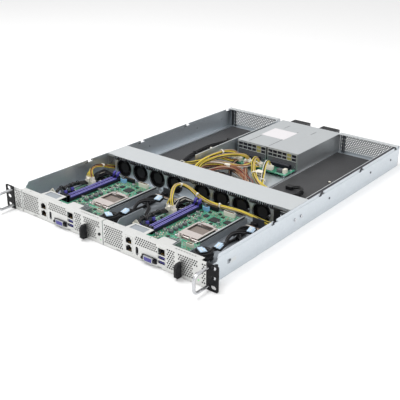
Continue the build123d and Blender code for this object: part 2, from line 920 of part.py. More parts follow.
def io_ports(x0):
    front = sheet + seat_gap
    half_lan = lan_width / 2
    half_jack = jack_width / 2
    lan_x = x0 + lan_across
    cavities = [(lan_x - half_jack, lan_x + half_jack, jack_depth, z, jack_height)
                for z in (lan_low, lan_high)]
    lan = jack_shell(lan_x - half_lan, lan_x + half_lan, front, front + stack_length,
                     board_top, lan_high + jack_height + 3, cavities)
    half_usb = usb_width / 2 - port_wall
    usb_x = x0 + usb_across
    cavities = [(usb_x - half_usb, usb_x + half_usb, usb_depth, z, height)
                for z, height in stack_openings()]
    stack = jack_shell(usb_x - usb_width / 2, usb_x + usb_width / 2, front,
                       front + stack_length - 8, board_top, board_top + 29, cavities)
    tongues = [block(usb_x - half_usb + 1, usb_x + half_usb - 1, front + 2,
                     front + usb_depth + 1, z + 1.2, z + 2.6)
               for z, height in stack_openings()[:2]]
    for tongue in tongues:
        stack += tongue
    display_x = x0 + display_across
    half_display = display_width / 2 - 0.2
    shell_low = board_top
    display = block(display_x - half_display - port_wall, display_x + half_display + port_wall,
                    front, front + 12, shell_low, 23.0)
    display -= block(display_x - half_display + 0.3, display_x + half_display - 0.3,
                     front - 1, front + 8, shell_low + 1.2, 21.4)
    return lan, stack, display, vga_port(x0)


def vga_port(x0):
    """D-shell in the panel opening with its body on the board."""
    front = sheet + seat_gap
    x = x0 + vga_across
    shell = upright_plate(vga_wire(x, 9.6, vga_width - 1, vga_height - 1), [], -0.8, front)
    body = block(x - 15, x + 15, front, front + 9, board_top, board_top + 8)
    return shell + body


def cpu_socket(x0):
    """Socket body and its metal frame, with hinge ears and a lever hook."""
    x = x0 + socket_across
    y = socket_along
    z = board_top
    half_body = socket_body / 2
    body = block(x - half_body, x + half_body, y - half_body, y + half_body,
                 z, z + socket_height - 1)
    body -= block(x - 17, x + 17, y - 17, y + 17, z + 1.4, z + socket_height)
    half_w = frame_width / 2
    half_l = frame_length / 2
    frame = block(x - half_w, x + half_w, y - half_l, y + half_l, z, z + 1.4)
    clear = half_body + seat_gap
    frame -= block(x - clear, x + clear, y - clear, y + clear, z - 1, z + 2)
    return body, frame + hinge_ears(x, y + half_l - 3) + lever_ears(x, y - half_l + 3) + \
        lever_hook(x + half_w + 1, y + 20)


def plate_axis():
    return socket_along + frame_length / 2 - 3, board_top + 4.0


def lever_axis():
    return socket_along - frame_length / 2 + 3, board_top + 4.0


def hinge_ears(x, y):
    """Two upright ears bored for the load plate's pin."""
    z = plate_axis()[1]
    ears = Part()
    for side in (-1, 1):
        low, high = sorted((x + side * 13, x + side * 15))
        ears += block(low, high, y - 2.6, y + 2.6, board_top + 1, z + 2.4)
    return ears - rod_along_x(y, z, 1.0 + pin_clearance, x - 20, x + 20)


def lever_ears(x, y):
    z = lever_axis()[1]
    ears = Part()
    for side in (-1, 1):
        low, high = sorted((x + side * 8, x + side * 10))
        ears += block(low, high, y - 2.8, y + 2.8, board_top + 1, z + 2.6)
    return ears - rod_along_x(y, z, lever_bar / 2 + pin_clearance, x - 20, x + 20)


def lever_hook(x, y):
    """Side tab that the lever's arm snaps under."""
    z = lever_axis()[1]
    foot = block(x - 2, x + 3.4, y, y + 5, board_top, board_top + 1.2)
    post = block(x - 1.4, x - 0.4, y, y + 5, board_top + 1, z - lever_bar / 2 - seat_gap)
    return foot + post


def load_plate(x0):
    """Windowed clamp plate that turns on its pin at the rear."""
    x = x0 + socket_across
    pivot_y, pivot_z = plate_axis()
    front = lever_axis()[0] + lever_bar / 2 + 2.2
    low = board_top + socket_height + 0.4
    outline = rectangle_wire(x - 20.5, x + 20.5, front, pivot_y - 4.2)
    window_back = pivot_y - 7
    window_front = window_back - window_length
    half = window_width / 2
    notch = 3.0
    corners = [
        (x - half, window_front), (x + half, window_front), (x + half, window_back - notch),
        (x + half - notch, window_back), (x - half + notch, window_back),
        (x - half, window_back - notch),
    ]
    face = Face(outline, [Wire.make_polygon(corners, close=True)])
    plate = extrude(Pos(0, 0, low) * face, plate_sheet, dir=(0, 0, 1))
    plate += rod_along_x(pivot_y, pivot_z, 1.0, x - 15, x + 15)
    tab = [(pivot_y - 4.8, low), (pivot_y - 4.8, low + plate_sheet), (pivot_y, pivot_z + 1.6),
           (pivot_y + 1.2, pivot_z), (pivot_y, pivot_z - 1.4)]
    plate += side_plate(tab, x - 11, x + 11)
    return plate


def socket_lever(x0):
    """Wire lever: a pivot across the front, an arm to the rear, a thumb end."""
    x = x0 + socket_across
    y, z = lever_axis()
    arm_x = x + frame_width / 2 + 2.4
    end = y + lever_reach
    route = FilletPolyline(
        (x - 11, y, z), (arm_x, y, z), (arm_x, end, z), (arm_x + 3.6, end + 5, z + 3),
        radius=2.6,
    )
    start = Plane(origin=(x - 11, y, z), z_dir=(1, 0, 0))
    return sweep(start * Circle(lever_bar / 2), path=route)


def slot_places():
    return [slot_across, slot_across + slot_pitch]


def latch_axis():
    return slot_front + slot_length - 4.5, board_top + 5.0


def dimm_slot(x0, across):
    """Grooved memory socket, with a fixed end in front and cheeks behind."""
    x = x0 + across
    half = slot_width / 2
    groove = groove_width / 2
    z = board_top
    top = z + slot_height
    profile = [
        (x - half, z), (x + half, z), (x + half, top - 1), (x + half - 1, top),
        (x + groove, top), (x + groove, z + 2), (x - groove, z + 2), (x - groove, top),
        (x - half + 1, top), (x - half, top - 1),
    ]
    back = slot_front + slot_length
    slot = profile_along_y(profile, slot_front + 7, back - 9)
    slot += block(x - half, x + half, slot_front, slot_front + 7, z, top + 5)
    slot -= block(x - groove, x + groove, slot_front + 5, slot_front + 8, z + 2, top + 6)
    slot += block(x - half, x + half, back - 9, back, z, top + 3)
    gap = latch_width / 2 + seat_gap
    slot -= block(x - gap, x + gap, back - 8, back + 1, z + 1, top + 4)
    pin_y, pin_z = latch_axis()
    return slot - rod_along_x(pin_y, pin_z, latch_pin + pin_clearance, x - half - 1, x + half + 1)


def dimm_latch(x0, across):
    """Pivoting memory latch with its thumb pad and two stub pins."""
    x = x0 + across
    y, z = latch_axis()
    half = latch_width / 2
    top = z + latch_height - 5
    points = [
        (y - 2.4, z - 2), (y + 1.6, z - 2.6), (y + 2.6, z), (y + 2.6, top - 4),
        (y + 5.4, top - 1), (y + 5.4, top + 1), (y + 1, top), (y - 1.4, top - 3),
        (y - 1.4, z + 3), (y - 2.6, z + 1),
    ]
    latch = side_plate(points, x - half, x + half)
    return latch + rod_along_x(y, z, latch_pin, x - slot_width / 2, x + slot_width / 2)


def power_plug(x0):
    """Board header with the cable plug pushed home and its clip."""
    x = x0 + plug_across
    y = plug_along
    half_w = plug_width / 2
    half_l = plug_length / 2
    z = board_top
    header = block(x - half_w, x + half_w, y - half_l, y + half_l, z, z + plug_height)
    header -= block(x - half_w + 1, x + half_w - 1, y - half_l + 1, y + half_l - 1,
                    z + 5, z + plug_height + 1)
    edge = 1 + seat_gap
    plug = block(x - half_w + edge, x + half_w - edge, y - half_l + edge, y + half_l - edge,
                 z + 5 + seat_gap, z + plug_height + plug_rise)
    clip = [(y - half_l - 2.6, z + 9), (y - half_l - 1.4, z + 9),
            (y - half_l - 1.4, z + plug_height + 3), (y - half_l + 2, z + plug_height + 5),
            (y - half_l + 2, z + plug_height + 6), (y - half_l - 2.6, z + plug_height + 5)]
    return header, plug + side_plate(clip, x - 2.5, x + 2.5)


def signal_cable(x0):
    """Front panel and drive signal leads lying in the channel."""
    x = x0 + board_left + board_width + 22
    z = tray_top + lead_diameter / 2 + seat_gap
    points = [
        (x + 14, 30, z), (x + 8, 52, z), (x - 2, 78, z), (x - 4, 106, z),
        (x + 3, 134, z), (x + 5, 160, z), (x, 186, z), (x - 2, 205, z),
    ]
    plugs = [
        block(x + 8, x + 20, 14, 29, tray_top, tray_top + 8),
        block(x - 8, x + 4, 205.6, 214, tray_top, tray_top + 8),
    ]
    return [tube(points, lead_diameter)] + plugs


# Cables

def corner_radii(points):
    """Largest even bend for each corner of a route."""
    radii = []
    for before, here, after in zip(points, points[1:], points[2:]):
        a = Vector(*here) - Vector(*before)
        b = Vector(*after) - Vector(*here)
        half_turn = math.radians(a.get_angle(b)) / 2
        radii.append(0.45 * min(a.length, b.length) / math.tan(half_turn))
    return radii


def tube(points, diameter):
    radii = corner_radii(points)
    route = FilletPolyline(*points, radius=radii)
    first = Vector(*points[0])
    start = Plane(origin=first, z_dir=Vector(*points[1]) - first)
    cable = sweep(start * Circle(diameter / 2), path=route)
    wanted = math.pi * diameter ** 2 / 4 * route.length
    print("tube", len(points), "points, length", round(route.length, 1), "tightest",
          round(min(radii), 1), "volume ratio", round(cable.volume / wanted, 4))
    return cable


def tie(point, direction, diameter):
    """Cable tie: a ring round the bundle with its square head on top."""
    plane = Plane(origin=point, z_dir=direction)
    ring = Cylinder(diameter / 2 + seat_gap + tie_sheet, tie_width)
    ring -= Cylinder(diameter / 2 + seat_gap, tie_width + 1)
    return plane * ring


right_route = [
    (21.5, 149, 26), (21.5, 149, 33.5), (17.5, 156.5, 39.5), (8, 168.5, 39.8),
    (-2.4, 184, 39.4), (-10, 201, 38), (-7.6, 216, 34), (5, 222.4, 27), (24, 221.4, 18.6),
    (43, 220.6, 14.6), (60, 220.4, 12.8), (78, 220.6, 13.6), (96, 220.4, 15.8),
    (114, 220.6, 16.9), (132, 220.4, 16.6), (149, 220.2, 14.6), (165, 220.6, 11.2),
    (181, 223.6, 8.4), (194, 233, 7.2), (201, 250, 6.4), (202, 272, 6.2), (196, 296, 6.4),
    (178, 316, 6.6), (150, 332, 6.8), (118, 344, 7.4), (88, 352, 8.6), (66, 361, 9.8),
    (44, 376, 10.6), (27, 393, 10.8), (15.2, 408, 11.2), (8.9, 422, 12), (8.5, 434.7, 12.1),
]
left_route = [
    (-182.5, 149, 26), (-182.5, 149, 33.5), (-186, 156.5, 38.6), (-192, 169, 38),
    (-197.6, 185, 34.6), (-201, 202, 28.4), (-204, 221, 19.6), (-206, 241, 12),
    (-207, 263, 8.4), (-204, 287, 7), (-190, 306, 6.6), (-166, 317, 6.8), (-138, 322, 9),
    (-114, 323, 14.6), (-92.6, 324.4, 22.6), (-73.6, 329.6, 28.4), (-65.6, 342.6, 30.2),
    (-64.8, 362, 30.4), (-64.4, 382, 28.6), (-60.4, 399, 23.4), (-51.6, 412, 17),
    (-43.9, 422, 12.6), (-43.5, 434.7, 12.1),
]
rear_route = [
    (-96, 302, 5.2), (-112, 320, 5.6), (-124, 343, 5.9), (-134, 368, 6.1), (-142, 394, 6.2),
    (-147, 422, 6.1), (-150, 452, 6.2), (-149, 482, 6.1), (-144, 511, 6.0), (-136, 538, 5.9),
]


def harness(route, diameter, tie_indexes):
    pieces = [tube(route, diameter)]
    for i in tie_indexes:
        a = Vector(*route[i])
        b = Vector(*route[i + 1])
        pieces.append(tie((a + b) / 2, b - a, diameter))
    return pieces


def drive_plug():
    """Drive connector at the loose end of the rear lead."""
    x, y, z = rear_route[-1]
    body = block(x - 11, x + 11, y, y + 9, floor_top + film_sheet + seat_gap, z + 3.4)
    return body


def build_chassis():
    save("chassis_base", chassis_base())
    save("rear_panels", *rear_panels())
    save("node_divider", node_divider())
    save("chassis_screws", *side_screws())
    for name, side in (("left", -1), ("right", 1)):
        save("rack_ear_" + name, rack_ear(side))
        save("ear_handle_" + name, ear_handle(side))


def build_fans():
    save("fan_wall", fan_wall())
    save("fan_bar", fan_bar())
    frame = fan_frame_at_origin()
    rotor = fan_rotor_at_origin()
    places = [(x, fan_front, fan_axis_height) for x in fan_positions()]
    save("fan_frames", *[place_fan(frame, *place) for place in places])
    for number, place in enumerate(places, start=1):
        save("fan_rotor_" + str(number), place_fan(rotor, *place))
    for name, left in psu_lefts.items():
        x, y, z = psu_fan_place(left)
        turned = Pos(x, y + fan_depth - 1, z) * Rot(Z=180)
        save("psu_rotor_" + name, turned * place_fan(rotor, 0, 0, 0))


def build_power():
    save("psu_cage", psu_cage())
    save("psu_bay_wall", psu_bay_wall())
    save("bay_insulators", *bay_insulators())
    save("power_board", *power_board())
    for name, left in psu_lefts.items():
        save("psu_module_" + name, psu_module(left))
        save("psu_latch_" + name, psu_latch(left))


def build_node(name, x0):
    save("node_tray_" + name, node_tray(x0))
    save("front_panel_" + name, *front_panel(x0))
    save("motherboard_" + name, *motherboard(x0))
    save("io_ports_" + name, *io_ports(x0))
    save("cpu_socket_" + name, *cpu_socket(x0))
    save("load_plate_" + name, load_plate(x0))
    save("socket_lever_" + name, socket_lever(x0))
    inner, outer = slot_places()
    save("dimm_slots_" + name, dimm_slot(x0, inner), dimm_slot(x0, outer))
    save("dimm_latch_outer_" + name, dimm_latch(x0, inner))
    save("dimm_latch_inner_" + name, dimm_latch(x0, outer))
    save("power_plug_" + name, *power_plug(x0))
    save("pull_tab_" + name, pull_tab(x0))
    save("power_button_" + name, power_button(x0))
    save("signal_cable_" + name, *signal_cable(x0))


def build_harnesses():
    save("right_harness", *harness(right_route, trunk_diameter, (9, 12, 15, 28)))
    save("left_harness", *harness(left_route, trunk_diameter, (4, 16)))
    save("rear_harness", *harness(rear_route, lead_diameter, (3, 5)), drive_plug())


os.makedirs("parts", exist_ok=True)
build_chassis()
build_fans()
build_power()
for node_name, node_left in node_edges.items():
    build_node(node_name, node_left)
build_harnesses()
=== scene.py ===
import math
import random
import bmesh
import bpy
from mathutils import Matrix, Vector


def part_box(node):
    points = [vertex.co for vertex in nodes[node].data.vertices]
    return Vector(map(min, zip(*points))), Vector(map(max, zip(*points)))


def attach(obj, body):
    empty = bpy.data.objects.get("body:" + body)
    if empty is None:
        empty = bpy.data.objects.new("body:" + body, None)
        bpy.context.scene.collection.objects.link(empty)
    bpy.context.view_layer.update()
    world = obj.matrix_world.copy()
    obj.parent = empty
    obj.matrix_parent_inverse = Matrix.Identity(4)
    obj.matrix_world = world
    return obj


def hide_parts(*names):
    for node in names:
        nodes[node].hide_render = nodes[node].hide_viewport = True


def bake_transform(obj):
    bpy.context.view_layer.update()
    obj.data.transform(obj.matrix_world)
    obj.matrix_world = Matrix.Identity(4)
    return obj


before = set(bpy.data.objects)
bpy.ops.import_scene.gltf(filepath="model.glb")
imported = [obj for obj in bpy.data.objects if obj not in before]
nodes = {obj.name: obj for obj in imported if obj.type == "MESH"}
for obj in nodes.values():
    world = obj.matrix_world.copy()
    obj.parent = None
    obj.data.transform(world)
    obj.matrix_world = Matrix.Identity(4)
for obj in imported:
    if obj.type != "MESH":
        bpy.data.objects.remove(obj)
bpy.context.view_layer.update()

sides = ("left", "right")
mm = 0.001
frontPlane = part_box("front_panel_left")[0].y  # the drawings count Y from here, in mm
sideGap = 0.8  # from a node's edge to its tray and front
nodeEdge = {side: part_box("node_tray_" + side)[0].x / mm - sideGap for side in sides}
boardTop = 8.0
palette = {}


# Colours and nodes

def linear(code):  # sRGB hex to linear
    parts = [int(code[i:i + 2], 16) / 255 for i in (1, 3, 5)]
    parts = [c / 12.92 if c <= 0.04045 else ((c + 0.055) / 1.055) ** 2.4 for c in parts]
    return (*parts, 1.0)


def addNode(tree, kind, inputs=None, **settings):
    # an input is a socket to link, a hex colour or a plain value; a Mix node's colours are
    # its inputs 6 and 7 and its output 2
    node = tree.nodes.new(kind)
    for name, value in settings.items():
        setattr(node, name, value)
    for socket, value in (inputs or {}).items():
        if isinstance(value, bpy.types.NodeSocket):
            tree.links.new(value, node.inputs[socket])
        else:
            coded = isinstance(value, str) and value.startswith("#")
            node.inputs[socket].default_value = linear(value) if coded else value
    return node


def startMaterial(name, metal=0.0, **sockets):
    material = bpy.data.materials.new(name)
    material.use_nodes = True
    shader = material.node_tree.nodes["Principled BSDF"]
    shader.inputs["Metallic"].default_value = metal
    for socket, value in sockets.items():
        shader.inputs[socket.replace("_", " ")].default_value = value
    palette[name] = material
    return material.node_tree, shader


def surface(tree, shader, dark, pale, grain, rough, bump, stretch=(1, 1, 1)):
    # colour, roughness and bump from one noise; grain and bump are in mm
    place = addNode(tree, "ShaderNodeTexCoord").outputs["Object"]
    place = addNode(tree, "ShaderNodeMapping", {"Vector": place, "Scale": stretch}).outputs[0]
    noise = addNode(tree, "ShaderNodeTexNoise",
                    {"Vector": place, "Scale": 1 / (grain * mm), "Detail": 4.0})
    tint = addNode(tree, "ShaderNodeMix", {"Factor": noise.outputs["Fac"], 6: dark, 7: pale},
                   data_type="RGBA").outputs[2]
    gloss = addNode(tree, "ShaderNodeMapRange", {"Value": noise.outputs["Fac"], "From Min": 0.3,
                                                 "From Max": 0.7, "To Min": rough[0],
                                                 "To Max": rough[1]})
    relief = addNode(tree, "ShaderNodeBump", {"Height": noise.outputs["Fac"], "Strength": 0.5,
                                              "Distance": bump * mm})
    tree.links.new(tint, shader.inputs["Base Color"])
    tree.links.new(gloss.outputs[0], shader.inputs["Roughness"])
    tree.links.new(relief.outputs[0], shader.inputs["Normal"])
    return place, tint


# Materials

def zincSheet(name, dark, pale, rough, spangle, metal=1.0):
    # hot-dip galvanised steel sheet: satin, with flat crystals that show as faint patches;
    # the darker tray copy is painted shade and takes a lower metallic value
    tree, shader = startMaterial(name, metal=metal)
    place, tint = surface(tree, shader, dark, pale, 2.5, rough, 0.004)
    crystals = addNode(tree, "ShaderNodeTexVoronoi", {"Vector": place, "Scale": 1 / (spangle * mm)})
    grey = addNode(tree, "ShaderNodeRGBToBW", {"Color": crystals.outputs["Color"]})
    patch = addNode(tree, "ShaderNodeMath", {0: grey.outputs[0], 1: 0.28}, operation="MULTIPLY")
    shade = addNode(tree, "ShaderNodeMix", {"Factor": patch.outputs[0], 6: tint, 7: dark},
                    data_type="RGBA")
    tree.links.new(shade.outputs[2], shader.inputs["Base Color"])


def powderCoat(name, dark, pale):
    # black polyester powder on steel: fine orange peel, half matt
    tree, shader = startMaterial(name, Specular_IOR_Level=0.15)
    surface(tree, shader, dark, pale, 0.8, (0.4, 0.52), 0.05)


def platedBar(name, dark, pale, rough):
    # nickel-plated and tin-plated steel: smooth, with faint drawn lines
    tree, shader = startMaterial(name, metal=1.0)
    surface(tree, shader, dark, pale, 1.2, rough, 0.003, (1, 0.2, 1))


def mouldedPlastic(name, dark, pale, rough, shine=0.5):
    # injection-moulded nylon, polybutylene or liquid-crystal polymer, faintly grained
    tree, shader = startMaterial(name, IOR=1.55, Specular_IOR_Level=shine)
    surface(tree, shader, dark, pale, 0.6, rough, 0.02)


def polycarbonateFilm():
    # black insulating film: fine even texture, with broad paler patches painted in as a soft sheen
    tree, shader = startMaterial("polycarbonateFilm", IOR=1.58, Sheen_Weight=0.05,
                                 Specular_IOR_Level=0.3)
    place, tint = surface(tree, shader, "#1F1F21", "#2B2B2D", 0.5, (0.42, 0.6), 0.04)
    # broad paler patches: a painted sheen
    paintedSheen = addNode(tree, "ShaderNodeTexNoise", {"Vector": place, "Scale": 1 / (60 * mm)})
    shade = addNode(tree, "ShaderNodeMix", {"Factor": paintedSheen.outputs["Fac"], 6: tint, 7: "#3A3A3C"},
                    data_type="RGBA")
    tree.links.new(shade.outputs[2], shader.inputs["Base Color"])


def solderMask():
    # green epoxy mask over copper: traces show as paler lines in some zones, with white
    # printed outlines of the parts and tinned holes
    tree, shader = startMaterial("solderMask", IOR=1.5, Coat_Weight=0.3, Coat_Roughness=0.2)
    place, tint = surface(tree, shader, "#2A8465", "#45A886", 9.0, (0.3, 0.42), 0.01)
    zones = addNode(tree, "ShaderNodeTexVoronoi", {"Vector": place, "Scale": 1 / (16 * mm)})
    chosen = addNode(tree, "ShaderNodeRGBToBW", {"Color": zones.outputs["Color"]})
    few = addNode(tree, "ShaderNodeMath", {0: chosen.outputs[0], 1: 0.62},
                  operation="GREATER_THAN")
    for line, width, height, share, ink in ((0.12, 11, 1.1, chosen, "#86D0B2"),
                                            (0.22, 8.3, 5.2, few, "#D8E2DC")):
        bricks = addNode(tree, "ShaderNodeTexBrick",
                         {"Vector": place, "Color1": "#000000", "Color2": "#000000",
                          "Mortar": "#FFFFFF", "Scale": 1.0, "Mortar Size": line * mm,
                          "Brick Width": width * mm, "Row Height": height * mm})
        inked = addNode(tree, "ShaderNodeMath",
                        {0: bricks.outputs["Color"], 1: share.outputs[0]}, operation="MULTIPLY")
        tint = addNode(tree, "ShaderNodeMix", {"Factor": inked.outputs[0], 6: tint, 7: ink},
                       data_type="RGBA").outputs[2]
    vias = addNode(tree, "ShaderNodeTexVoronoi", {"Vector": place, "Scale": 1 / (2.6 * mm)})
    dots = addNode(tree, "ShaderNodeMath", {0: vias.outputs["Distance"], 1: 0.42 * mm},
                   operation="LESS_THAN")
    shade = addNode(tree, "ShaderNodeMix", {"Factor": dots.outputs[0], 6: tint, 7: "#C9C4A0"},
                    data_type="RGBA")
    tree.links.new(shade.outputs[2], shader.inputs["Base Color"])


def wireJacket(name, dark, pale):
    # extruded PVC insulation: even colour, slight slip gloss along the wire
    tree, shader = startMaterial(name, IOR=1.53, Specular_IOR_Level=0.3)
    surface(tree, shader, dark, pale, 3.0, (0.34, 0.5), 0.01)


def contactField():
    # socket contacts: rows of tiny sprung tips over brown polymer, drawn at twice their pitch
    tree, shader = startMaterial("contactField", IOR=1.55)
    place, tint = surface(tree, shader, "#5E534B", "#756965", 2.0, (0.4, 0.55), 0.01)
    rows = addNode(tree, "ShaderNodeTexChecker", {"Vector": place, "Scale": 1 / (0.9 * mm)})
    tip = addNode(tree, "ShaderNodeMath", {0: rows.outputs["Fac"], 1: 0.45},
                  operation="MULTIPLY")
    shade = addNode(tree, "ShaderNodeMix", {"Factor": tip.outputs[0], 6: tint, 7: "#A09488"},
                    data_type="RGBA")
    tree.links.new(shade.outputs[2], shader.inputs["Base Color"])


def labelPaper():
    # coated paper label with nothing printed on it
    tree, shader = startMaterial("labelPaper", IOR=1.45)
    surface(tree, shader, "#D6D3D5", "#E0DDDF", 1.5, (0.45, 0.6), 0.01)


def greenLens():
    # small clear lens with a lit green diode behind it
    tree, shader = startMaterial("greenLens", Emission_Strength=0.6, Coat_Weight=0.5)
    surface(tree, shader, "#46C060", "#46C060", 0.7, (0.2, 0.3), 0.005)
    shader.inputs["Emission Color"].default_value = linear("#46C060")


zincSheet("zincSheet", "#BFC6CC", "#D9DEE2", (0.38, 0.52), 7.0)
# darker copy of the zinc, painted as the shade on the node trays, the divider and the plate under
# the front's top window
zincSheet("trayZinc", "#8E949A", "#A6ACB2", (0.45, 0.6), 7.0, 0.6)
zincSheet("coverSheet", "#C6CACC", "#D4D7D8", (0.4, 0.52), 9.0)
zincSheet("shadedZinc", "#54585C", "#6C7074", (0.45, 0.58), 7.0)
zincSheet("rearZinc", "#9A9EA1", "#B2B6B9", (0.42, 0.55), 6.0)
zincSheet("supplySheet", "#B6BABC", "#C9CCCE", (0.4, 0.52), 8.0)
zincSheet("faceSheet", "#CFD0CE", "#DCDCDA", (0.4, 0.52), 9.0)
powderCoat("blackCoat", "#0F0F11", "#18181A")
platedBar("nickelBar", "#B4B5B8", "#D2D3D6", (0.18, 0.3))
platedBar("tinShell", "#A9ABAE", "#C9CBCE", (0.22, 0.36))
platedBar("socketSteel", "#C9C0BC", "#E0D8D4", (0.3, 0.44))
platedBar("goldContact", "#C79A4A", "#E2BE72", (0.25, 0.4))
mouldedPlastic("fanPlastic", "#121214", "#1D1D20", (0.42, 0.56), 0.25)
mouldedPlastic("blackPlastic", "#121214", "#1B1B1E", (0.36, 0.5), 0.22)
mouldedPlastic("slotPlastic", "#4E489F", "#635DB6", (0.34, 0.48))
mouldedPlastic("latchPlastic", "#332C88", "#453E9E", (0.34, 0.48))
# dark sheet behind perforations, painted as the shade seen through the holes
mouldedPlastic("dustScreen", "#1C1D1E", "#343536", (0.6, 0.8), 0.2)
# navy shade colour of the slot plastic, painted on the memory slots' rail sides where they fall in
# shade
mouldedPlastic("groovePlastic", "#1E1650", "#2A2166", (0.4, 0.55), 0.3)
mouldedPlastic("displayPlastic", "#3F3A8C", "#544FA6", (0.34, 0.48))
mouldedPlastic("blueHeader", "#6FA6CF", "#8CBDE0", (0.36, 0.5))
mouldedPlastic("whiteNylon", "#DAD5C6", "#EDE9DD", (0.4, 0.55))
mouldedPlastic("chipEpoxy", "#1B1B1D", "#2A2A2C", (0.38, 0.52), 0.35)
mouldedPlastic("greenLatch", "#154A2C", "#1E5C38", (0.36, 0.5))
mouldedPlastic("ferriteGrey", "#4A4C50", "#5E6064", (0.5, 0.64))
mouldedPlastic("slotBody", "#12111A", "#1B1926", (0.34, 0.48), 0.25)
mouldedPlastic("slotTick", "#AAA6E0", "#C6C3F0", (0.34, 0.48))
mouldedPlastic("socketBody", "#2A2523", "#3A332F", (0.4, 0.55), 0.35)
platedBar("extrudedAluminium", "#8E9296", "#B2B6BA", (0.32, 0.46))
mouldedPlastic("ceramicTan", "#A08A6A", "#C4AE8C", (0.4, 0.55))
# pale blue painted as the glints on the tops of black plugs
mouldedPlastic("paleBlue", "#A9C3DA", "#C6DBEC", (0.32, 0.46))
mouldedPlastic("polyesterTape", "#8F8748", "#ABA25C", (0.3, 0.42))
polycarbonateFilm()
solderMask()
contactField()
labelPaper()
greenLens()
wireJacket("yellowWire", "#CDB738", "#E6D158")
wireJacket("blackWire", "#131315", "#1F1F22")
wireJacket("orangeWire", "#8A5638", "#A46C48")
wireJacket("redWire", "#7C2C28", "#953C36")
wireJacket("whiteWire", "#D8D4CC", "#ECE9E2")
wireJacket("tanWire", "#A58A74", "#BFA38A")
print("materials made:", len(palette))


# Finish of the construction parts

cadFinish = {  # a star stands for left and for right
    "zincSheet": ["chassis_base", "psu_bay_wall", "fan_wall"],
    "rearZinc": ["rear_panels"],
    "trayZinc": ["node_tray_*", "node_divider"],
    "coverSheet": ["fan_bar"],
    "supplySheet": ["psu_cage", "psu_module_*"],
    "faceSheet": ["front_panel_*"],
    "blackCoat": ["rack_ear_*"],
    "nickelBar": ["ear_handle_*", "chassis_screws"],
    "fanPlastic": ["fan_frames", "psu_rotor_*"] + ["fan_rotor_" + str(i) for i in range(1, 9)],
    "polycarbonateFilm": ["bay_insulators"],
    "solderMask": ["power_board", "motherboard_*"],
    "yellowWire": ["*_harness"],
    "blackWire": ["rear_harness", "signal_cable_*"],
    "greenLatch": ["psu_latch_*"],
    "tinShell": ["io_ports_*"],
    "socketSteel": ["cpu_socket_*", "load_plate_*", "socket_lever_*"],
    "latchPlastic": ["dimm_slots_*", "dimm_latch_outer_*", "dimm_latch_inner_*"],
    "whiteNylon": ["power_plug_*"],
    "blackPlastic": ["pull_tab_*", "power_button_*"],
}
for finish, members in cadFinish.items():
    for member in members:
        for side in sides:
            mesh = nodes[member.replace("*", side)].data
            mesh.materials.clear()
            mesh.materials.append(palette[finish])


# Mesh helpers, in the drawings' millimetres

toFrame = Matrix.Translation((0, frontPlane, 0)) @ Matrix.Scale(mm, 4)
upright = Matrix.Rotation(math.radians(90), 4, "X")


def drawnBox(node):
    # a node's box in the drawings' millimetres, as two lists
    return [[c.x / mm, (c.y - frontPlane) / mm, c.z / mm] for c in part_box(node)]


def block(low, high, bevel=0.0):
    shape = bmesh.new()
    bmesh.ops.create_cube(shape, size=1.0)
    for vert in shape.verts:
        vert.co = Vector([low[i] if vert.co[i] < 0 else high[i] for i in range(3)])
    if bevel:
        bmesh.ops.bevel(shape, geom=shape.edges[:], offset=bevel, segments=1, affect="EDGES")
    return shape


def addBlocks(parts, rows, place=(0, 0, 0), turn=0, lift=0):
    # rows of finish, low and high corner and any bevel; the set is then lifted, turned and
    # put at its place
    matrix = Matrix.Translation(place) @ Matrix.Rotation(math.radians(turn), 4, "Z") \
        @ Matrix.Rotation(math.radians(lift), 4, "X")
    for finish, *corners in rows:
        shape = block(*corners)
        bmesh.ops.transform(shape, matrix=matrix, verts=shape.verts)
        parts.append((shape, finish))


def prism(outline, low, high, axis="Y"):
    # closed outline in the two other axes, drawn out along X or Y
    order = {"X": (1, 2, 0), "Y": (0, 2, 1)}[axis]
    shape = bmesh.new()
    rings = []
    for level in (low, high):
        ring = []
        for u, v in outline:
            spot = [0.0, 0.0, 0.0]
            spot[order[0]], spot[order[1]], spot[order[2]] = u, v, level
            ring.append(shape.verts.new(spot))
        rings.append(ring)
    shape.faces.new(rings[0])
    shape.faces.new(rings[1])
    for i in range(len(outline)):
        j = (i + 1) % len(outline)
        shape.faces.new((rings[0][i], rings[0][j], rings[1][j], rings[1][i]))
    bmesh.ops.recalc_face_normals(shape, faces=shape.faces[:])
    return shape


def turned(profile, place=(0, 0, 0), axis="Z", steps=20, hoop=False):
    # a lathe shape along Z or Y: (radius, height) pairs, closed at both ends, or as a hoop
    # round its section
    shape = bmesh.new()
    rings = []
    for radius, height in profile:
        ring = []
        for i in range(steps):
            a = 2 * math.pi * i / steps
            ring.append(shape.verts.new((radius * math.cos(a), radius * math.sin(a), height)))
        rings.append(ring)
    for low, high in zip(rings, rings[1:] + rings[:1] if hoop else rings[1:]):
        for i in range(steps):
            j = (i + 1) % steps
            face = shape.faces.new((low[i], low[j], high[j], high[i]))
            face.smooth = steps > 10
    if not hoop:
        shape.faces.new(list(reversed(rings[0])))
        shape.faces.new(rings[-1])
    bmesh.ops.recalc_face_normals(shape, faces=shape.faces[:])
    tilt = Matrix.Rotation(math.radians(-90 if axis == "Y" else 0), 4, "X")
    bmesh.ops.transform(shape, matrix=Matrix.Translation(place) @ tilt, verts=shape.verts)
    return shape


def fromMesh(mesh, matrix=None):
    shape = bmesh.new()
    shape.from_mesh(mesh)
    if matrix:
        bmesh.ops.transform(shape, matrix=matrix, verts=shape.verts)
    return shape


def makeMesh(name, parts):
    # parts are (shape, finish) pairs, joined as one mesh with a slot for each finish
    joined = bmesh.new()
    used = []
    for shape, finish in parts:
        if finish not in used:
            used.append(finish)
        copies = {vert: joined.verts.new(vert.co) for vert in shape.verts}
        for face in shape.faces:
            new = joined.faces.new([copies[vert] for vert in face.verts])
            new.material_index = used.index(finish)
            new.smooth = face.smooth
        shape.free()
    mesh = bpy.data.meshes.new(name)
    joined.to_mesh(mesh)
    joined.free()
    for finish in used:
        mesh.materials.append(palette[finish])
    return mesh


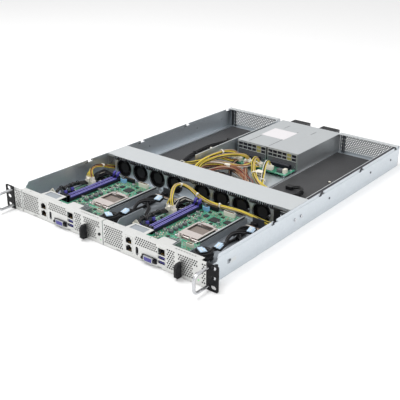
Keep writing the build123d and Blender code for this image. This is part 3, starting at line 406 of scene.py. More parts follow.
def addPiece(name, parts, body, stands=(), x=0.0):
    # x is where the parts' own zero lies across the chassis
    mesh = makeMesh(name, parts)
    mesh.transform(toFrame @ Matrix.Translation((x, 0, 0)))
    piece = bpy.data.objects.new(name, mesh)
    bpy.context.scene.collection.objects.link(piece)
    if isinstance(body, str):
        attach(piece, body)
    else:
        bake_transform(piece)
    if stands:
        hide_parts(*stands)


# Geometry Nodes trees

def newTree(name, labels):
    tree = bpy.data.node_groups.new(name, "GeometryNodeTree")
    tree.interface.new_socket("Geometry", in_out="OUTPUT", socket_type="NodeSocketGeometry")
    for label, kind in {"Geometry": "Geometry", **labels}.items():
        tree.interface.new_socket(label, in_out="INPUT", socket_type="NodeSocket" + kind)
    return tree, addNode(tree, "NodeGroupInput").outputs


def endTree(tree, geometry, material):
    plain = addNode(tree, "GeometryNodeRealizeInstances", {"Geometry": geometry})
    made = addNode(tree, "GeometryNodeSetMaterial", {"Geometry": plain.outputs[0],
                                                     "Material": material})
    addNode(tree, "NodeGroupOutput", {0: made.outputs[0]})
    return tree


def runTree(source, tree, values):
    # gives the tree's result as a plain mesh and drops its source object
    bpy.context.scene.collection.objects.link(source)
    grow = source.modifiers.new("grow", "NODES")
    grow.node_group = tree
    for item in tree.interface.items_tree:
        if item.in_out == "INPUT" and item.name in values:
            grow[item.identifier] = values[item.name]
    bpy.context.view_layer.update()
    ready = source.evaluated_get(bpy.context.evaluated_depsgraph_get())
    mesh = bpy.data.meshes.new_from_object(ready)
    source.modifiers.remove(grow)
    bpy.data.objects.remove(source)
    return mesh


def sheetTree():
    # fills the outlines, cuts a round hole at each point and gives the sheet its thickness
    tree, given = newTree("perforatedSheet", {"Outlines": "Object", "Hole Diameter": "Float",
                                              "Hole Sides": "Int", "Thickness": "Float",
                                              "Material": "Material"})
    radius = addNode(tree, "ShaderNodeMath", {0: given["Hole Diameter"], 1: 0.5},
                     operation="MULTIPLY")
    ring = addNode(tree, "GeometryNodeCurvePrimitiveCircle", {"Resolution": given["Hole Sides"],
                                                              "Radius": radius.outputs[0]})
    rings = addNode(tree, "GeometryNodeInstanceOnPoints", {"Points": given["Geometry"],
                                                           "Instance": ring.outputs[0]})
    loose = addNode(tree, "GeometryNodeRealizeInstances", {"Geometry": rings.outputs[0]})
    edge = addNode(tree, "GeometryNodeObjectInfo", {"Object": given["Outlines"]})
    both = addNode(tree, "GeometryNodeJoinGeometry", {"Geometry": loose.outputs[0]})
    tree.links.new(edge.outputs["Geometry"], both.inputs[0])
    face = addNode(tree, "GeometryNodeFillCurve", {"Curve": both.outputs[0]})
    thick = addNode(tree, "GeometryNodeExtrudeMesh",
                    {"Mesh": face.outputs[0], "Offset Scale": given["Thickness"],
                     "Individual": False})
    under = addNode(tree, "GeometryNodeFlipFaces", {"Mesh": face.outputs[0]})
    shell = addNode(tree, "GeometryNodeJoinGeometry", {"Geometry": thick.outputs["Mesh"]})
    tree.links.new(under.outputs[0], shell.inputs[0])
    closed = addNode(tree, "GeometryNodeMergeByDistance", {"Geometry": shell.outputs[0],
                                                           "Distance": 0.002})  # mm here
    return endTree(tree, closed.outputs[0], given["Material"])


def repeatTree():
    # puts the template on every point, turned and sized by the points' attributes
    tree, given = newTree("repeatOnPoints", {"Template": "Object", "Size": "Float",
                                             "Material": "Material"})
    shape = addNode(tree, "GeometryNodeObjectInfo", {"Object": given["Template"]})
    turn = addNode(tree, "GeometryNodeInputNamedAttribute", {"Name": "turn"},
                   data_type="FLOAT_VECTOR")
    stretch = addNode(tree, "GeometryNodeInputNamedAttribute", {"Name": "stretch"},
                      data_type="FLOAT_VECTOR")
    size = addNode(tree, "ShaderNodeVectorMath", {0: stretch.outputs[0],
                                                  "Scale": given["Size"]}, operation="SCALE")
    copies = addNode(tree, "GeometryNodeInstanceOnPoints",
                     {"Points": given["Geometry"], "Instance": shape.outputs["Geometry"],
                      "Rotation": turn.outputs[0], "Scale": size.outputs[0]})
    return endTree(tree, copies.outputs[0], given["Material"])


trees = {"sheet": sheetTree(), "repeat": repeatTree()}


def pointSource(name, spots):
    # a spot is a bare place, or (place, turn in degrees) with or without a stretch
    mesh = bpy.data.meshes.new(name)
    spots = [s if isinstance(s[0], tuple) else (s,) for s in spots]
    spots = [(*s, *((0, 0, 0), (1, 1, 1))[len(s) - 1:]) for s in spots]
    mesh.from_pydata([s[0] for s in spots], [], [])
    for label, values in (("turn", [[math.radians(a) for a in s[1]] for s in spots]),
                          ("stretch", [s[2] for s in spots])):
        layer = mesh.attributes.new(label, "FLOAT_VECTOR", "POINT")
        layer.data.foreach_set("vector", [c for value in values for c in value])
    return bpy.data.objects.new(name, mesh)


def repeated(shape, finish, spots):
    # one (shape, finish) pair with a copy of the shape at every spot
    template = bpy.data.objects.new("template", makeMesh("template", [(shape, finish)]))
    bpy.context.scene.collection.objects.link(template)
    mesh = runTree(pointSource("spots", spots), trees["repeat"],
                   {"Template": template, "Size": 1.0, "Material": palette[finish]})
    bpy.data.objects.remove(template)
    return fromMesh(mesh), finish


def perforated(outlines, holes, diameter, thickness, finish):
    # a flat sheet in X and Y, from zero up to its thickness, with eight-sided holes
    curve = bpy.data.curves.new("outlines", "CURVE")
    for outline in outlines:
        spline = curve.splines.new("POLY")
        spline.points.add(len(outline) - 1)
        for point, (x, y) in zip(spline.points, outline):
            point.co = (x, y, 0, 1)
        spline.use_cyclic_u = True
    edge = bpy.data.objects.new("outlines", curve)
    bpy.context.scene.collection.objects.link(edge)
    mesh = runTree(pointSource("holes", [(x, y, 0) for x, y in holes]), trees["sheet"],
                   {"Outlines": edge, "Hole Diameter": diameter, "Hole Sides": 8,
                    "Thickness": thickness, "Material": palette[finish]})
    bpy.data.objects.remove(edge)
    return mesh


def rectangle(x0, x1, y0, y1):
    return [(x0, y0), (x1, y0), (x1, y1), (x0, y1)]


def roundedSlot(x, y, length, width, along="X", steps=5):
    reach = (length - width) / 2
    points = []
    for sign, start in ((1, -90), (-1, 90)):
        for i in range(steps + 1):
            a = math.radians(start + 180 * i / steps)
            points.append((sign * reach + width / 2 * math.cos(a), width / 2 * math.sin(a)))
    if along == "Y":
        points = [(-v, u) for u, v in points]
    return [(x + u, y + v) for u, v in points]


def staggered(x0, x1, y0, y1, pitch, diameter, keepOut=()):
    # centres in offset rows inside a rectangle, clear of the kept-out rectangles
    rowStep = pitch * math.sqrt(3) / 2
    rows = int((y1 - y0 - diameter) / rowStep) + 1
    columns = int((x1 - x0 - diameter) / pitch) + 1
    low = (y0 + y1 - (rows - 1) * rowStep) / 2
    left = (x0 + x1 - (columns - 1) * pitch) / 2
    spots = []
    for row in range(rows):
        for column in range(columns - row % 2):
            x, y = left + (column + row % 2 / 2) * pitch, low + row * rowStep
            if not any(a - diameter < x < b + diameter and c - diameter < y < d + diameter
                       for a, b, c, d in keepOut):
                spots.append((x, y))
    return spots


# Front panels; a node's pieces count X from its left edge

frontSheet = {"thickness": 1.0, "top": 43.5, "bottom": 0.3, "lip": 9.0, "pitch": 4.3,
              "hole": 3.1, "width": 202.4, "edge": 204.0, "flangeHoles": 8}
portAcross = (58.2, 75.4, 101.5, 126.7)  # LAN pair, display, VGA, LAN over USB
jackBottoms, usbBottoms = (8.8, 22.3), (boardTop + 1.2, boardTop + 9.2)
stackJack = boardTop + 16.4
vgaScrews, vgaHeight = 12.5, 9.6


def frontPanel(side, v):
    # perforated sheet with its port cut-outs, top flange, window flap and status lens; the dark
    # sheets behind its holes and slots and the darker zinc plate under the flange's window are
    # painted shade
    thickness, top, lip, edge = v["thickness"], v["top"], v["lip"], v["edge"]
    left, right = sideGap, sideGap + v["width"]
    zones = [(2, 46, 4.5, 40.5), (71, 118, 24.5, 40.5), (136, 154, 5.5, 40.5),
             (edge - 46, edge - 6, 4.5, 40.5)]
    button, tabFoot = (edge - 14, edge, 2, 24), (edge - 41, edge - 40, 2, 26)
    holes = []
    for zone in zones:
        holes += staggered(*zone, v["pitch"], v["hole"], [button, tabFoot])
    cuts = [rectangle(left, right, v["bottom"], top)]
    lan, display, vga, stack = portAcross
    for z in jackBottoms:
        cuts.append([(lan - 6.25, z), (lan + 6.25, z), (lan + 6.25, z + 8.2),
                     (lan + 3.4, z + 8.2), (lan + 3.4, z + 11), (lan - 3.4, z + 11),
                     (lan - 3.4, z + 8.2), (lan - 6.25, z + 8.2)])
    cuts.append(roundedSlot(display, 14.5, 15.0, 5.8, "Y"))
    cuts.append([(vga - 8, 4.8), (vga + 8, 4.8), (vga + 10, 14.4), (vga - 10, 14.4)])
    for z, height in ((usbBottoms[0], 5.4), (usbBottoms[1], 5.4), (stackJack, 11.0)):
        cuts.append(rectangle(stack - 7.2, stack + 7.2, z, z + height))
    cuts.append(roundedSlot(edge - 8.4, 17, 5.41, 5.4, steps=8))
    cuts.append(roundedSlot(edge - 5.4, 8, 2.41, 2.4))
    cuts += [roundedSlot(vga + i * vgaScrews, vgaHeight, 3.01, 3.0) for i in (-1, 1)]
    cuts += [rectangle(x, x + 9, 1.6, 2.9) for x in (30, 84, 118, 150)]
    sheet = perforated(cuts, holes, v["hole"], thickness, "faceSheet")
    parts = [(fromMesh(sheet, Matrix.Translation((0, thickness, 0)) @ upright), "faceSheet")]
    # dark sheets behind the hole zones and the small slots, painted as the shade seen through them
    blocks = [("dustScreen", (a, thickness + 0.15, c), (b, thickness + 0.35, d))
              for a, b, c, d in zones + [(28, 160, 1.2, 3.2)]]
    # the dark sheet under the flange slots and the darker zinc plate under the window are painted
    # shade
    blocks += [("dustScreen", (edge - 54, 2, 42.1), (edge - 8, 5, 42.4)),
               ("trayZinc", (48, 10.4, 42.1), (81, 26.6, 42.45)),
               ("whiteNylon", (32, 36, boardTop), (34, 39, 36.5), 0.3),
               ("blackPlastic", (edge - 13.4, 1.05, 12), (edge - 3.4, 1.5, 22), 0.2)]
    addBlocks(parts, blocks)
    flange = [(left, thickness), (right, thickness), (right, lip), (140, lip), (139, 22),
              (113, 22), (112, lip), (87, lip), (86, 29), (46, 29), (43, lip), (left, lip)]
    slots = [rectangle(edge - 52 + i * 5.2, edge - 49 + i * 5.2, 2.6, 4.4)
             for i in range(v["flangeHoles"])]
    slots.append(rectangle(49, 80, 11, 26))
    flag = [(29, 35), (48, 35), (40, 43.2), (37.5, 43.2)]
    parts.append((prism(flag, 38, 38.8), "whiteNylon"))
    shelf = perforated([flange] + slots, [(20, 5), (100, 5)], 2.4, thickness, "faceSheet")
    parts.append((fromMesh(shelf, Matrix.Translation((0, 0, top - thickness))), "faceSheet"))
    lens = turned([(1.15, 0.0), (1.15, -0.9), (0.8, -1.25), (0.0001, -1.35)],
                  (edge - 5.4, 1.2, 8), "Y", 14)
    parts.append((lens, "greenLens"))
    addPiece("perforatedFront_" + side, parts, "tray_" + side, ["front_panel_" + side],
             nodeEdge[side])


def endFiller(x0, x1, v):
    # narrow perforated strip between a node and the ear, on the chassis, with a dark sheet
    # behind it painted as the shade seen through the holes
    holes = staggered(x0 + 0.6, x1 - 0.6, 4.5, 40.5, v["pitch"], v["hole"])
    sheet = perforated([rectangle(x0, x1, v["bottom"], v["top"])], holes, v["hole"], 0.6,
                       "faceSheet")
    return [(fromMesh(sheet, Matrix.Translation((0, -0.2, 0)) @ upright), "faceSheet"),
            # dark sheet painted as the shade seen through the holes
            (block((x0 + 0.6, -0.15, 3), (x1 - 0.6, -0.04, 42)), "dustScreen")]


for side in sides:
    frontPanel(side, frontSheet)
fillers = endFiller(-218.8, nodeEdge["left"] + 0.4, frontSheet)
fillers += endFiller(nodeEdge["right"] + 203.6, 218.8, frontSheet)
addPiece("endFillers", fillers, "chassis")
print("front panels made")


# Rear panels

rearSheet = {"thickness": 1.0, "top": 43.5, "lip": 12.0, "pitch": 4.6, "hole": 2.8,
             "inset": 2.4}


def rearPanels(v):
    # perforated sheets either side of the supplies, with top lip, dashes and posts
    low, high = drawnBox("rear_panels")
    back, thickness, top = high[1], v["thickness"], v["top"]
    front = back - thickness
    bayWall = drawnBox("psu_bay_wall")[0][0] - 0.3
    cage = drawnBox("psu_cage")[1][0] + 0.3
    parts = []
    for x0, x1, outer in ((low[0], bayWall, -1), (cage, high[0], 1)):
        margin = (11, 3) if outer < 0 else (3, 11)
        holes = staggered(x0 + margin[0], x1 - margin[1], 3, top - 3, v["pitch"], v["hole"])
        sheet = perforated([rectangle(x0, x1, 0, top)], holes, v["hole"], thickness, "rearZinc")
        parts.append((fromMesh(sheet, Matrix.Translation((0, back, 0)) @ upright), "rearZinc"))
        dashes = [(x0 + margin[0] + 4 + i * 8.6, front - 0.05, 38.6)
                  for i in range(int((x1 - x0 - 20) / 8.6))]
        parts.append(repeated(block((-2.6, -0.06, -1.1), (2.6, 0.06, 1.1)), "slotBody", dashes))
        ends = (x0 + v["inset"], x1) if outer < 0 else (x0, x1 - v["inset"])
        lipHoles = [(ends[0] + 8 + i * 12, front - 6) for i in range(10)]
        lip = perforated([rectangle(*ends, front - v["lip"], front)], lipHoles, 3.2, thickness,
                         "coverSheet")
        parts.append((fromMesh(lip, Matrix.Translation((0, 0, top - thickness))), "coverSheet"))
        posts = (x0 + 7.6, x0 + 16.4) if outer < 0 else (x0 + 7.2, x0 + 11.4)
        addBlocks(parts, [("shadedZinc", (post, front - 5, 1), (post + 1.6, front, 42.5), 0.15)
                          for post in posts])
    addPiece("perforatedRear", parts, "chassis", ["rear_panels"])


rearPanels(rearSheet)
print("rear panels made")


# Node boards

boardFill = {
    "seed": 7, "capacitors": 380, "resistors": 240, "chips": 26, "cans": 9, "slabEdge": 0.2,
    "left": 6, "right": 133, "sink": (88, 40), "leadPitch": 0.8,
    "largeChips": ((84, 168, 16), (110, 176, 12), (66, 176, 9), (64, 52, 14)),  # x, y, side
    "connectors": (  # x, y, length, depth, height
        (116, 70, 13, 5.5, 7, "whiteNylon"), (50, 34, 12, 5.5, 6, "whiteNylon"),
        (92, 202, 22, 6, 9, "whiteNylon"), (50, 196, 12, 6, 8, "blueHeader"),
        (50, 206, 26, 5, 8, "blackPlastic"), (66, 34, 14, 6, 8, "blueHeader"),
        (114, 30, 12, 7, 7, "whiteNylon")),
}


def freeSpots(rng, zones, taken, count, size, gap=0.5, z=boardTop):
    # seeded places in the zones, clear of what is taken; each place is then taken too
    weights = [(x1 - x0) * (y1 - y0) for x0, x1, y0, y1 in zones]
    spots = []
    for attempt in range(count * 12):
        if len(spots) == count:
            break
        x0, x1, y0, y1 = rng.choices(zones, weights)[0]
        turn = rng.choice((0, 90))
        half = [s / 2 + gap for s in (size if turn == 0 else (size[1], size[0]))]
        x, y = rng.uniform(x0 + half[0], x1 - half[0]), rng.uniform(y0 + half[1], y1 - half[1])
        box = (x - half[0], x + half[0], y - half[1], y + half[1])
        if any(box[0] < b and box[1] > a and box[2] < d and box[3] > c for a, b, c, d in taken):
            continue
        taken.append(box)
        spots.append(((x, y, z), (0, 0, turn)))
    return spots


def boardParts(side, v):
    # slab on its posts, chokes, large chips with their leads, and seeded small parts
    rng = random.Random(v["seed"] + sides.index(side))
    left, right = v["left"], v["right"]
    parts = [(block((left, 3, boardTop - 1.6), (right, 214, boardTop), v["slabEdge"]),
              "solderMask")]
    posts = [(x, y, boardTop) for x in (left + 5, right - 5) for y in (33, 113, 208)]
    parts.append(repeated(turned([(3, -1.6), (3, -5.7)]), "tinShell", posts))
    screw = turned([(3.9, 0.02), (3.9, 0.06), (2.7, 0.06), (2.7, 0.9), (1.9, 1.5), (0.001, 1.6)])
    parts.append(repeated(screw, "nickelBar", posts))
    chokes = [(65.5, 92.5 + i * 12, boardTop) for i in range(4)]
    parts.append(repeated(block((-3.5, -3.5, 0), (3.5, 3.5, 5), 0.7), "ferriteGrey", chokes))
    taken = [(x - 5, x + 5, y - 5, y + 5) for x, y, z in posts]
    taken += [(28, 47, 60, 206), (4, 28, 140, 158), (60, 71, 86, 135), (75, 128, 82, 156),
              (40, 86, 0, 31), (84, 134, 0, 23)]
    pitch = v["leadPitch"]
    for x, y, size in v["largeChips"]:
        addBlocks(parts, [("chipEpoxy", (x, y, boardTop), (x + size, y + size, boardTop + 1.6),
                           0.25)])
        leads = []
        for i in range(int(size / pitch) - 1):
            along = pitch + i * pitch
            leads += [(x + along, y - 0.4, boardTop), (x + along, y + size + 0.4, boardTop),
                      ((x - 0.4, y + along, boardTop), (0, 0, 90)),
                      ((x + size + 0.4, y + along, boardTop), (0, 0, 90))]
        parts.append(repeated(block((-0.12, -0.7, 0), (0.12, 0.7, 0.25)), "tinShell", leads))
        taken.append((x - 2, x + size + 2, y - 2, y + size + 2))
    taken.append((87, 113, 39, 65))
    parts += boardSink(*v["sink"])
    parts += boardConnectors(taken, v["connectors"])
    zones = [(48, 62, 32, 210), (62, 78, 32, 86), (70, 78, 86, 160), (62, 78, 136, 212),
             (78, 131, 156, 212), (78, 131, 26, 82), (8, 28, 36, 140), (8, 28, 158, 206)]
    cans = freeSpots(rng, zones[:6], taken, v["cans"], (6.4, 6.4))
    for profile, finish in (([(3.1, 0), (3.1, 5.4), (2.8, 6)], "tinShell"),
                            ([(2.6, 6.02), (2.5, 6.1)], "chipEpoxy")):
        parts.append(repeated(turned(profile, steps=14), finish, cans))
    chips = freeSpots(rng, zones, taken, v["chips"], (7.4, 6.2))
    small = freeSpots(rng, zones, taken, v["capacitors"], (2.2, 1.3), 0.25)
    flat = freeSpots(rng, zones, taken, v["resistors"], (2.0, 1.2), 0.2)
    for finish, spots, *corners in (
            ("chipEpoxy", chips, (-2.5, -2.6, 0.1), (2.5, 2.6, 1.5), 0.2),
            ("tinShell", chips, (-1.9, -3.4, 0), (-1.2, 3.4, 0.3)),
            ("tinShell", chips, (-0.9, -3.4, 0), (-0.2, 3.4, 0.3)),
            ("tinShell", chips, (0.2, -3.4, 0), (0.9, 3.4, 0.3)),
            ("tinShell", chips, (1.2, -3.4, 0), (1.9, 3.4, 0.3)),
            ("ceramicTan", small, (-0.6, -0.6, 0), (0.6, 0.6, 0.9)),
            ("tinShell", small, (-1.1, -0.62, 0), (-0.6, 0.62, 0.92)),
            ("tinShell", small, (0.6, -0.62, 0), (1.1, 0.62, 0.92)),
            ("chipEpoxy", flat, (-0.55, -0.55, 0), (0.55, 0.55, 0.4)),
            ("tinShell", flat, (-1, -0.5, 0), (1, 0.5, 0.3))):
        parts.append(repeated(block(*corners), finish, spots))
    return parts


def boardSink(x, y):
    # finned cooler of the controller hub, as wide as its base
    width, count, finWidth = 24, 6, 1.4
    base = block((x, y, boardTop), (x + width, y + width, boardTop + 3), 0.3)
    fin = block((0, 0, 0), (finWidth, width, 8.2), 0.25)
    fins = [(x + i * (width - finWidth) / (count - 1), y, boardTop + 2.8) for i in range(count)]
    return [(base, "extrudedAluminium"), repeated(fin, "extrudedAluminium", fins)]


def boardConnectors(taken, rows):
    # white and blue wire headers, pin rows and coin cell
    parts = []
    for x, y, length, depth, height, finish in rows:
        low, high = (x, y, boardTop), (x + length, y + depth, boardTop + height)
        addBlocks(parts, [(finish, low, high, 0.4),
                          ("chipEpoxy", (x + 1, y + 1, high[2] - 0.1),
                           (high[0] - 1, high[1] - 1, high[2] + 0.03))])
        pins = [(x + 2 + i * 2, y + depth / 2 + j, high[2])
                for i in range(int((length - 2) / 2)) for j in (-1, 1)]
        parts.append(repeated(block((-0.3, -0.3, 0), (0.3, 0.3, 0.5)), "goldContact", pins))
        taken.append((x - 1, high[0] + 1, y - 1, high[1] + 1))
    pale = [((53 + i % 3 * 3.1, 40 + i * 3.4, boardTop), (0, 0, 90)) for i in range(44)]
    parts.append(repeated(block((-1.3, -0.8, 0), (1.3, 0.8, 1.1), 0.2), "whiteNylon", pale))
    for profile, finish in (([(10, 2.2), (10, 4.6), (9.4, 5.2)], "nickelBar"),
                            ([(11.2, 0), (11.2, 3.2), (10.4, 3.2)], "blackPlastic")):
        parts.append((turned(profile, (17, 176, boardTop), steps=32), finish))
    taken.append((5, 28.4, 164, 188))
    return parts


for side in sides:
    addPiece("boardAssembly_" + side, boardParts(side, boardFill), "tray_" + side,
             ["motherboard_" + side], nodeEdge[side])
print("node boards made")


# Memory sockets and processor socket

slotShape = {"across": (32.5, 42.1), "half": 3.5, "front": 65.0, "back": 201.0,
             "top": boardTop + 8, "groove": 0.8, "tickPitch": 2.0}
wellShape = {"middle": (101.5, 119), "outer": 21.54, "inner": 16.9, "height": 3.04}


def memorySlots(side, v):
    # dark bodies with a groove between crowned rails whose sides are painted in navy shade,
    # contact ticks and end towers
    z, top, front, back = boardTop, v["top"], v["front"], v["back"]
    half, groove = v["half"], v["groove"]
    parts = []
    ticks = []
    for x in v["across"]:
        body = [(x - half, z), (x + half, z), (x + half, top - 2.2), (x - half, top - 2.2)]
        parts.append((prism(body, front + 7, back - 9), "slotBody"))
        for sign in (-1, 1):
            rail = [(x + sign * half, top - 2.2), (x + sign * half, top - 1),
                    (x + sign * 2.6, top - 0.1), (x + sign * groove, top - 0.1),
                    (x + sign * groove, top - 2.2)]
            # the rail sides take the navy colour as painted shade
            parts.append((prism(rail, front + 7, back - 9), "groovePlastic"))
            crown = sorted((x + sign * groove, x + sign * 2.75))
            addBlocks(parts, [("slotPlastic", (crown[0], front + 7, top - 0.6),
                               (crown[1], back - 9, top))])
        for i in range(int((back - front - 22) / v["tickPitch"])):
            y = front + 10 + i * v["tickPitch"]
            ticks += [(x - 1.9, y, top), (x + 1.9, y, top)]
        addBlocks(parts, [("slotBody", (x - half, front, z), (x - groove, front + 7, top + 5)),
                          ("slotBody", (x + groove, front, z), (x + half, front + 7, top + 5)),
                          ("slotBody", (x - half, front, z), (x + half, front + 5, top + 4.9),
                           0.3),
                          ("slotBody", (x - half, back - 9.5, z), (x - 2.5, back, top + 3), 0.2),
                          ("slotBody", (x + 2.5, back - 9.5, z), (x + half, back, top + 3), 0.2)])
    parts.append(repeated(block((-0.75, -0.3, -0.3), (0.75, 0.3, 0.12)), "slotTick", ticks))
    addPiece("memorySockets_" + side, parts, "tray_" + side, ["dimm_slots_" + side],
             nodeEdge[side])


def processorWell(side, v):
    # dark socket body round its field of contacts, with four cover lugs and frame screws
    outer, inner, high = v["outer"], v["inner"], v["height"]
    parts = []
    addBlocks(parts, [("socketBody", (*low, 0.05), (*far, high)) for low, far in (
        ((-outer, -outer), (outer, -inner)), ((-outer, inner), (outer, outer)),
        ((-outer, -inner), (-inner, inner)), ((inner, -inner), (outer, inner)))])
    addBlocks(parts, [("contactField", (-inner, -inner, 1.05), (inner, inner, 2.25))])
    screw = turned([(2.6, 0.0), (2.6, 1.4), (1.7, 2.0), (0.001, 2.05)], steps=12)
    lug = block((-1.6, -2.4, 0), (1.6, 2.4, 0.5), 0.2)
    for shape, finish, x, y, z in ((screw, "nickelBar", 21.2, 30.4, 1.4),
                                   (lug, "socketBody", 19, 19, high)):
        parts.append(repeated(shape, finish, [(i * x, j * y, z) for i in (-1, 1)
                                              for j in (-1, 1)]))
    middle = Matrix.Translation((*v["middle"], boardTop))
    for shape, finish in parts:
        bmesh.ops.transform(shape, matrix=middle, verts=shape.verts)
    addPiece("processorWell_" + side, parts, "tray_" + side, x=nodeEdge[side])


for side in sides:
    memorySlots(side, slotShape)
    processorWell(side, wellShape)
print("sockets made")


# Ports in the node fronts

def portDetails(side):
    # what shows behind and round the cut-outs of the front
    lan, display, vga, stack = portAcross
    parts = []
    contacts = []
    for x, z, half in ((lan, jackBottoms[0], 6.2), (lan, jackBottoms[1], 6.2),
                       (stack, stackJack, 6.3)):
        addBlocks(parts, [("slotBody", (x - half, 9, z + 0.05), (x + half, 15.2, z + 10.9))])
        contacts += [(x - 3.5 + i, 6, z + 0.6) for i in range(8)]
    parts.append(repeated(block((-0.25, -3, -0.2), (0.25, 3, 0.2)), "goldContact", contacts))
    rim = perforated([rectangle(lan - 8.4, lan + 8.4, 6.4, 35.9),
                      rectangle(lan - 6.3, lan + 6.3, 8.7, 19.9),
                      rectangle(lan - 6.3, lan + 6.3, 22.2, 33.4)], [], 1, 0.45, "tinShell")
    parts.append((fromMesh(rim, upright), "faceSheet"))
    for z in usbBottoms:
        addBlocks(parts, [("slotBody", (stack - 6.3, 12.9, z + 0.05),
                           (stack + 6.3, 14.2, z + 5.3)),
                          ("displayPlastic", (stack - 5.45, 1.2, z + 1.15),
                           (stack + 5.45, 13.2, z + 2.65), 0.15)])
    rim = perforated([rectangle(stack - 8.5, stack + 8.5, 8.2, 36.6),
                      rectangle(stack - 7.1, stack + 7.1, 9.2, 14.6),
                      rectangle(stack - 7.1, stack + 7.1, 17.2, 22.6),
                      rectangle(stack - 7.1, stack + 7.1, 24.4, 35.5)], [], 1, 0.45, "tinShell")
    parts.append((fromMesh(rim, upright), "faceSheet"))
    addBlocks(parts, [("slotBody", (display - 2, 6.5, 9.4), (display + 2, 9.2, 21.3)),
                      ("slotBody", (display - 0.5, 2, 10), (display + 0.5, 8, 20.6), 0.1)])
    # the first layer, dark and wider than the shell, is painted shadow round the connector
    for under, wide, z0, z1, y0, y1, finish in ((15.2, 15.2, 5.0, 14.4, -1.1, -0.8, "slotBody"),
                                                (8.6, 9.9, 5.2, 14.0, -4.2, -1.1, "tinShell"),
                                                (7.1, 8.2, 6.5, 12.9, -4.5, -4.1,
                                                 "displayPlastic")):
        shell = [(vga - under, z0), (vga + under, z0), (vga + wide, z1), (vga - wide, z1)]
        parts.append((prism(shell, y0, y1), finish))
    holes = [(vga - 6.5 + i * 2.9 + j * 0.7, -4.62, 7.4 + j * 2.2)
             for i in range(5) for j in range(3)]
    parts.append(repeated(turned([(0.5, 0), (0.5, 0.3)], axis="Y", steps=8), "slotBody", holes))
    post = turned([(2.6, -4.6), (2.6, -1.1)], axis="Y", steps=6)
    parts.append(repeated(post, "blackPlastic",
                          [(vga + i * vgaScrews, 0, vgaHeight) for i in (-1, 1)]))
    addPiece("portDetails_" + side, parts, "tray_" + side, x=nodeEdge[side])


for side in sides:
    portDetails(side)
print("ports made")


# Cables

pathStep = 2.0


def smoothPath(points):
    # points every pathStep along the route's curve, in mm
    curve = bpy.data.curves.new("route", "CURVE")
    curve.dimensions = "3D"
    spline = curve.splines.new("NURBS")
    spline.points.add(len(points) - 1)
    for point, place in zip(spline.points, points):
        point.co = (*place, 1)
    spline.order_u = 3
    spline.use_endpoint_u = True
    curve.resolution_u = 12
    holder = bpy.data.objects.new("route", curve)
    bpy.context.scene.collection.objects.link(holder)
    bpy.context.view_layer.update()
    mesh = bpy.data.meshes.new_from_object(holder.evaluated_get(
        bpy.context.evaluated_depsgraph_get()))
    dense = [v.co.copy() for v in mesh.vertices]
    bpy.data.meshes.remove(mesh)
    bpy.data.objects.remove(holder)
    path, carried = [dense[0]], 0.0
    for a, b in zip(dense, dense[1:]):
        length = (b - a).length
        while carried + length >= pathStep:
            a = a.lerp(b, (pathStep - carried) / length)
            length = (b - a).length
            path.append(a)
            carried = 0.0
        carried += length
    path.append(dense[-1])
    return path


def frames(path):
    # side and up directions that turn as little as possible along the path
    side = Vector((1, 0, 0))
    result = []
    for i, point in enumerate(path):
        ahead = (path[min(i + 1, len(path) - 1)] - path[max(i - 1, 0)]).normalized()
        side = (side - ahead * side.dot(ahead)).normalized()
        result.append((point, side.copy(), ahead.cross(side)))
    return result


def wireTube(path, radius, steps=7):
    shape = bmesh.new()
    rings = []
    for point, side, up in frames(path):
        rings.append([shape.verts.new(point + side * radius * math.cos(2 * math.pi * i / steps)
                                      + up * radius * math.sin(2 * math.pi * i / steps))
                      for i in range(steps)])
    for low, high in zip(rings, rings[1:]):
        for i in range(steps):
            j = (i + 1) % steps
            shape.faces.new((low[i], low[j], high[j], high[i])).smooth = True
    shape.faces.new(list(reversed(rings[0])))
    shape.faces.new(rings[-1])
    bmesh.ops.recalc_face_normals(shape, faces=shape.faces[:])
    return shape


sway = {"drift": 6.28, "turn": 0.35, "turnPace": 0.11, "loosePace": 0.07}


def bundle(points, jackets, v, start=None, end=None):
    # wires laid round the route, swaying a little; start and end give their offsets in a
    # plug's grid
    path = smoothPath(points)
    rng = random.Random(v["seed"])
    parts = []
    length = len(path) - 1
    steady = frames(path)
    rings = v.get("rings", (1,))
    for k, jacket in enumerate(jackets):
        ring = 0 if k == 0 else v["spread"] * rings[k % len(rings)]
        angle = 2 * math.pi * k / max(1, len(jackets) - 1)
        drift = rng.uniform(0, sway["drift"])
        wire = []
        for i, (point, side, up) in enumerate(steady):
            turn = angle + v["twist"] * i + sway["turn"] * math.sin(i * sway["turnPace"] + drift)
            loose = ring * (1 + v["loose"] * math.sin(i * sway["loosePace"] + drift))
            offset = side * loose * math.cos(turn) + up * loose * math.sin(turn)
            for grid, near in ((start, i), (end, length - i)):
                share = near * pathStep / v["fan"]
                if grid and share < 1:
                    share = share * share * (3 - 2 * share)
                    offset = Vector(grid[k % len(grid)]) * (1 - share) + offset * share
            wire.append(point + offset)
        parts.append((wireTube(wire, v["wire"]), jacket))
    return parts, path


def tieRing(path, index, radius, finish="whiteNylon"):
    point, side, up = frames(path)[index]
    ahead = side.cross(up)
    shape = turned([(radius, -1.3), (radius + 0.9, -1.3), (radius + 0.9, 1.3), (radius, 1.3)],
                   steps=16, hoop=True)
    head = block((radius, -2, -1.8), (radius + 2.6, 2, 1.8), 0.4)
    turn = Matrix((side, up, ahead)).transposed().to_4x4()
    for part in (shape, head):
        bmesh.ops.transform(part, matrix=Matrix.Translation(point) @ turn, verts=part.verts)
    return [(shape, finish), (head, finish)]


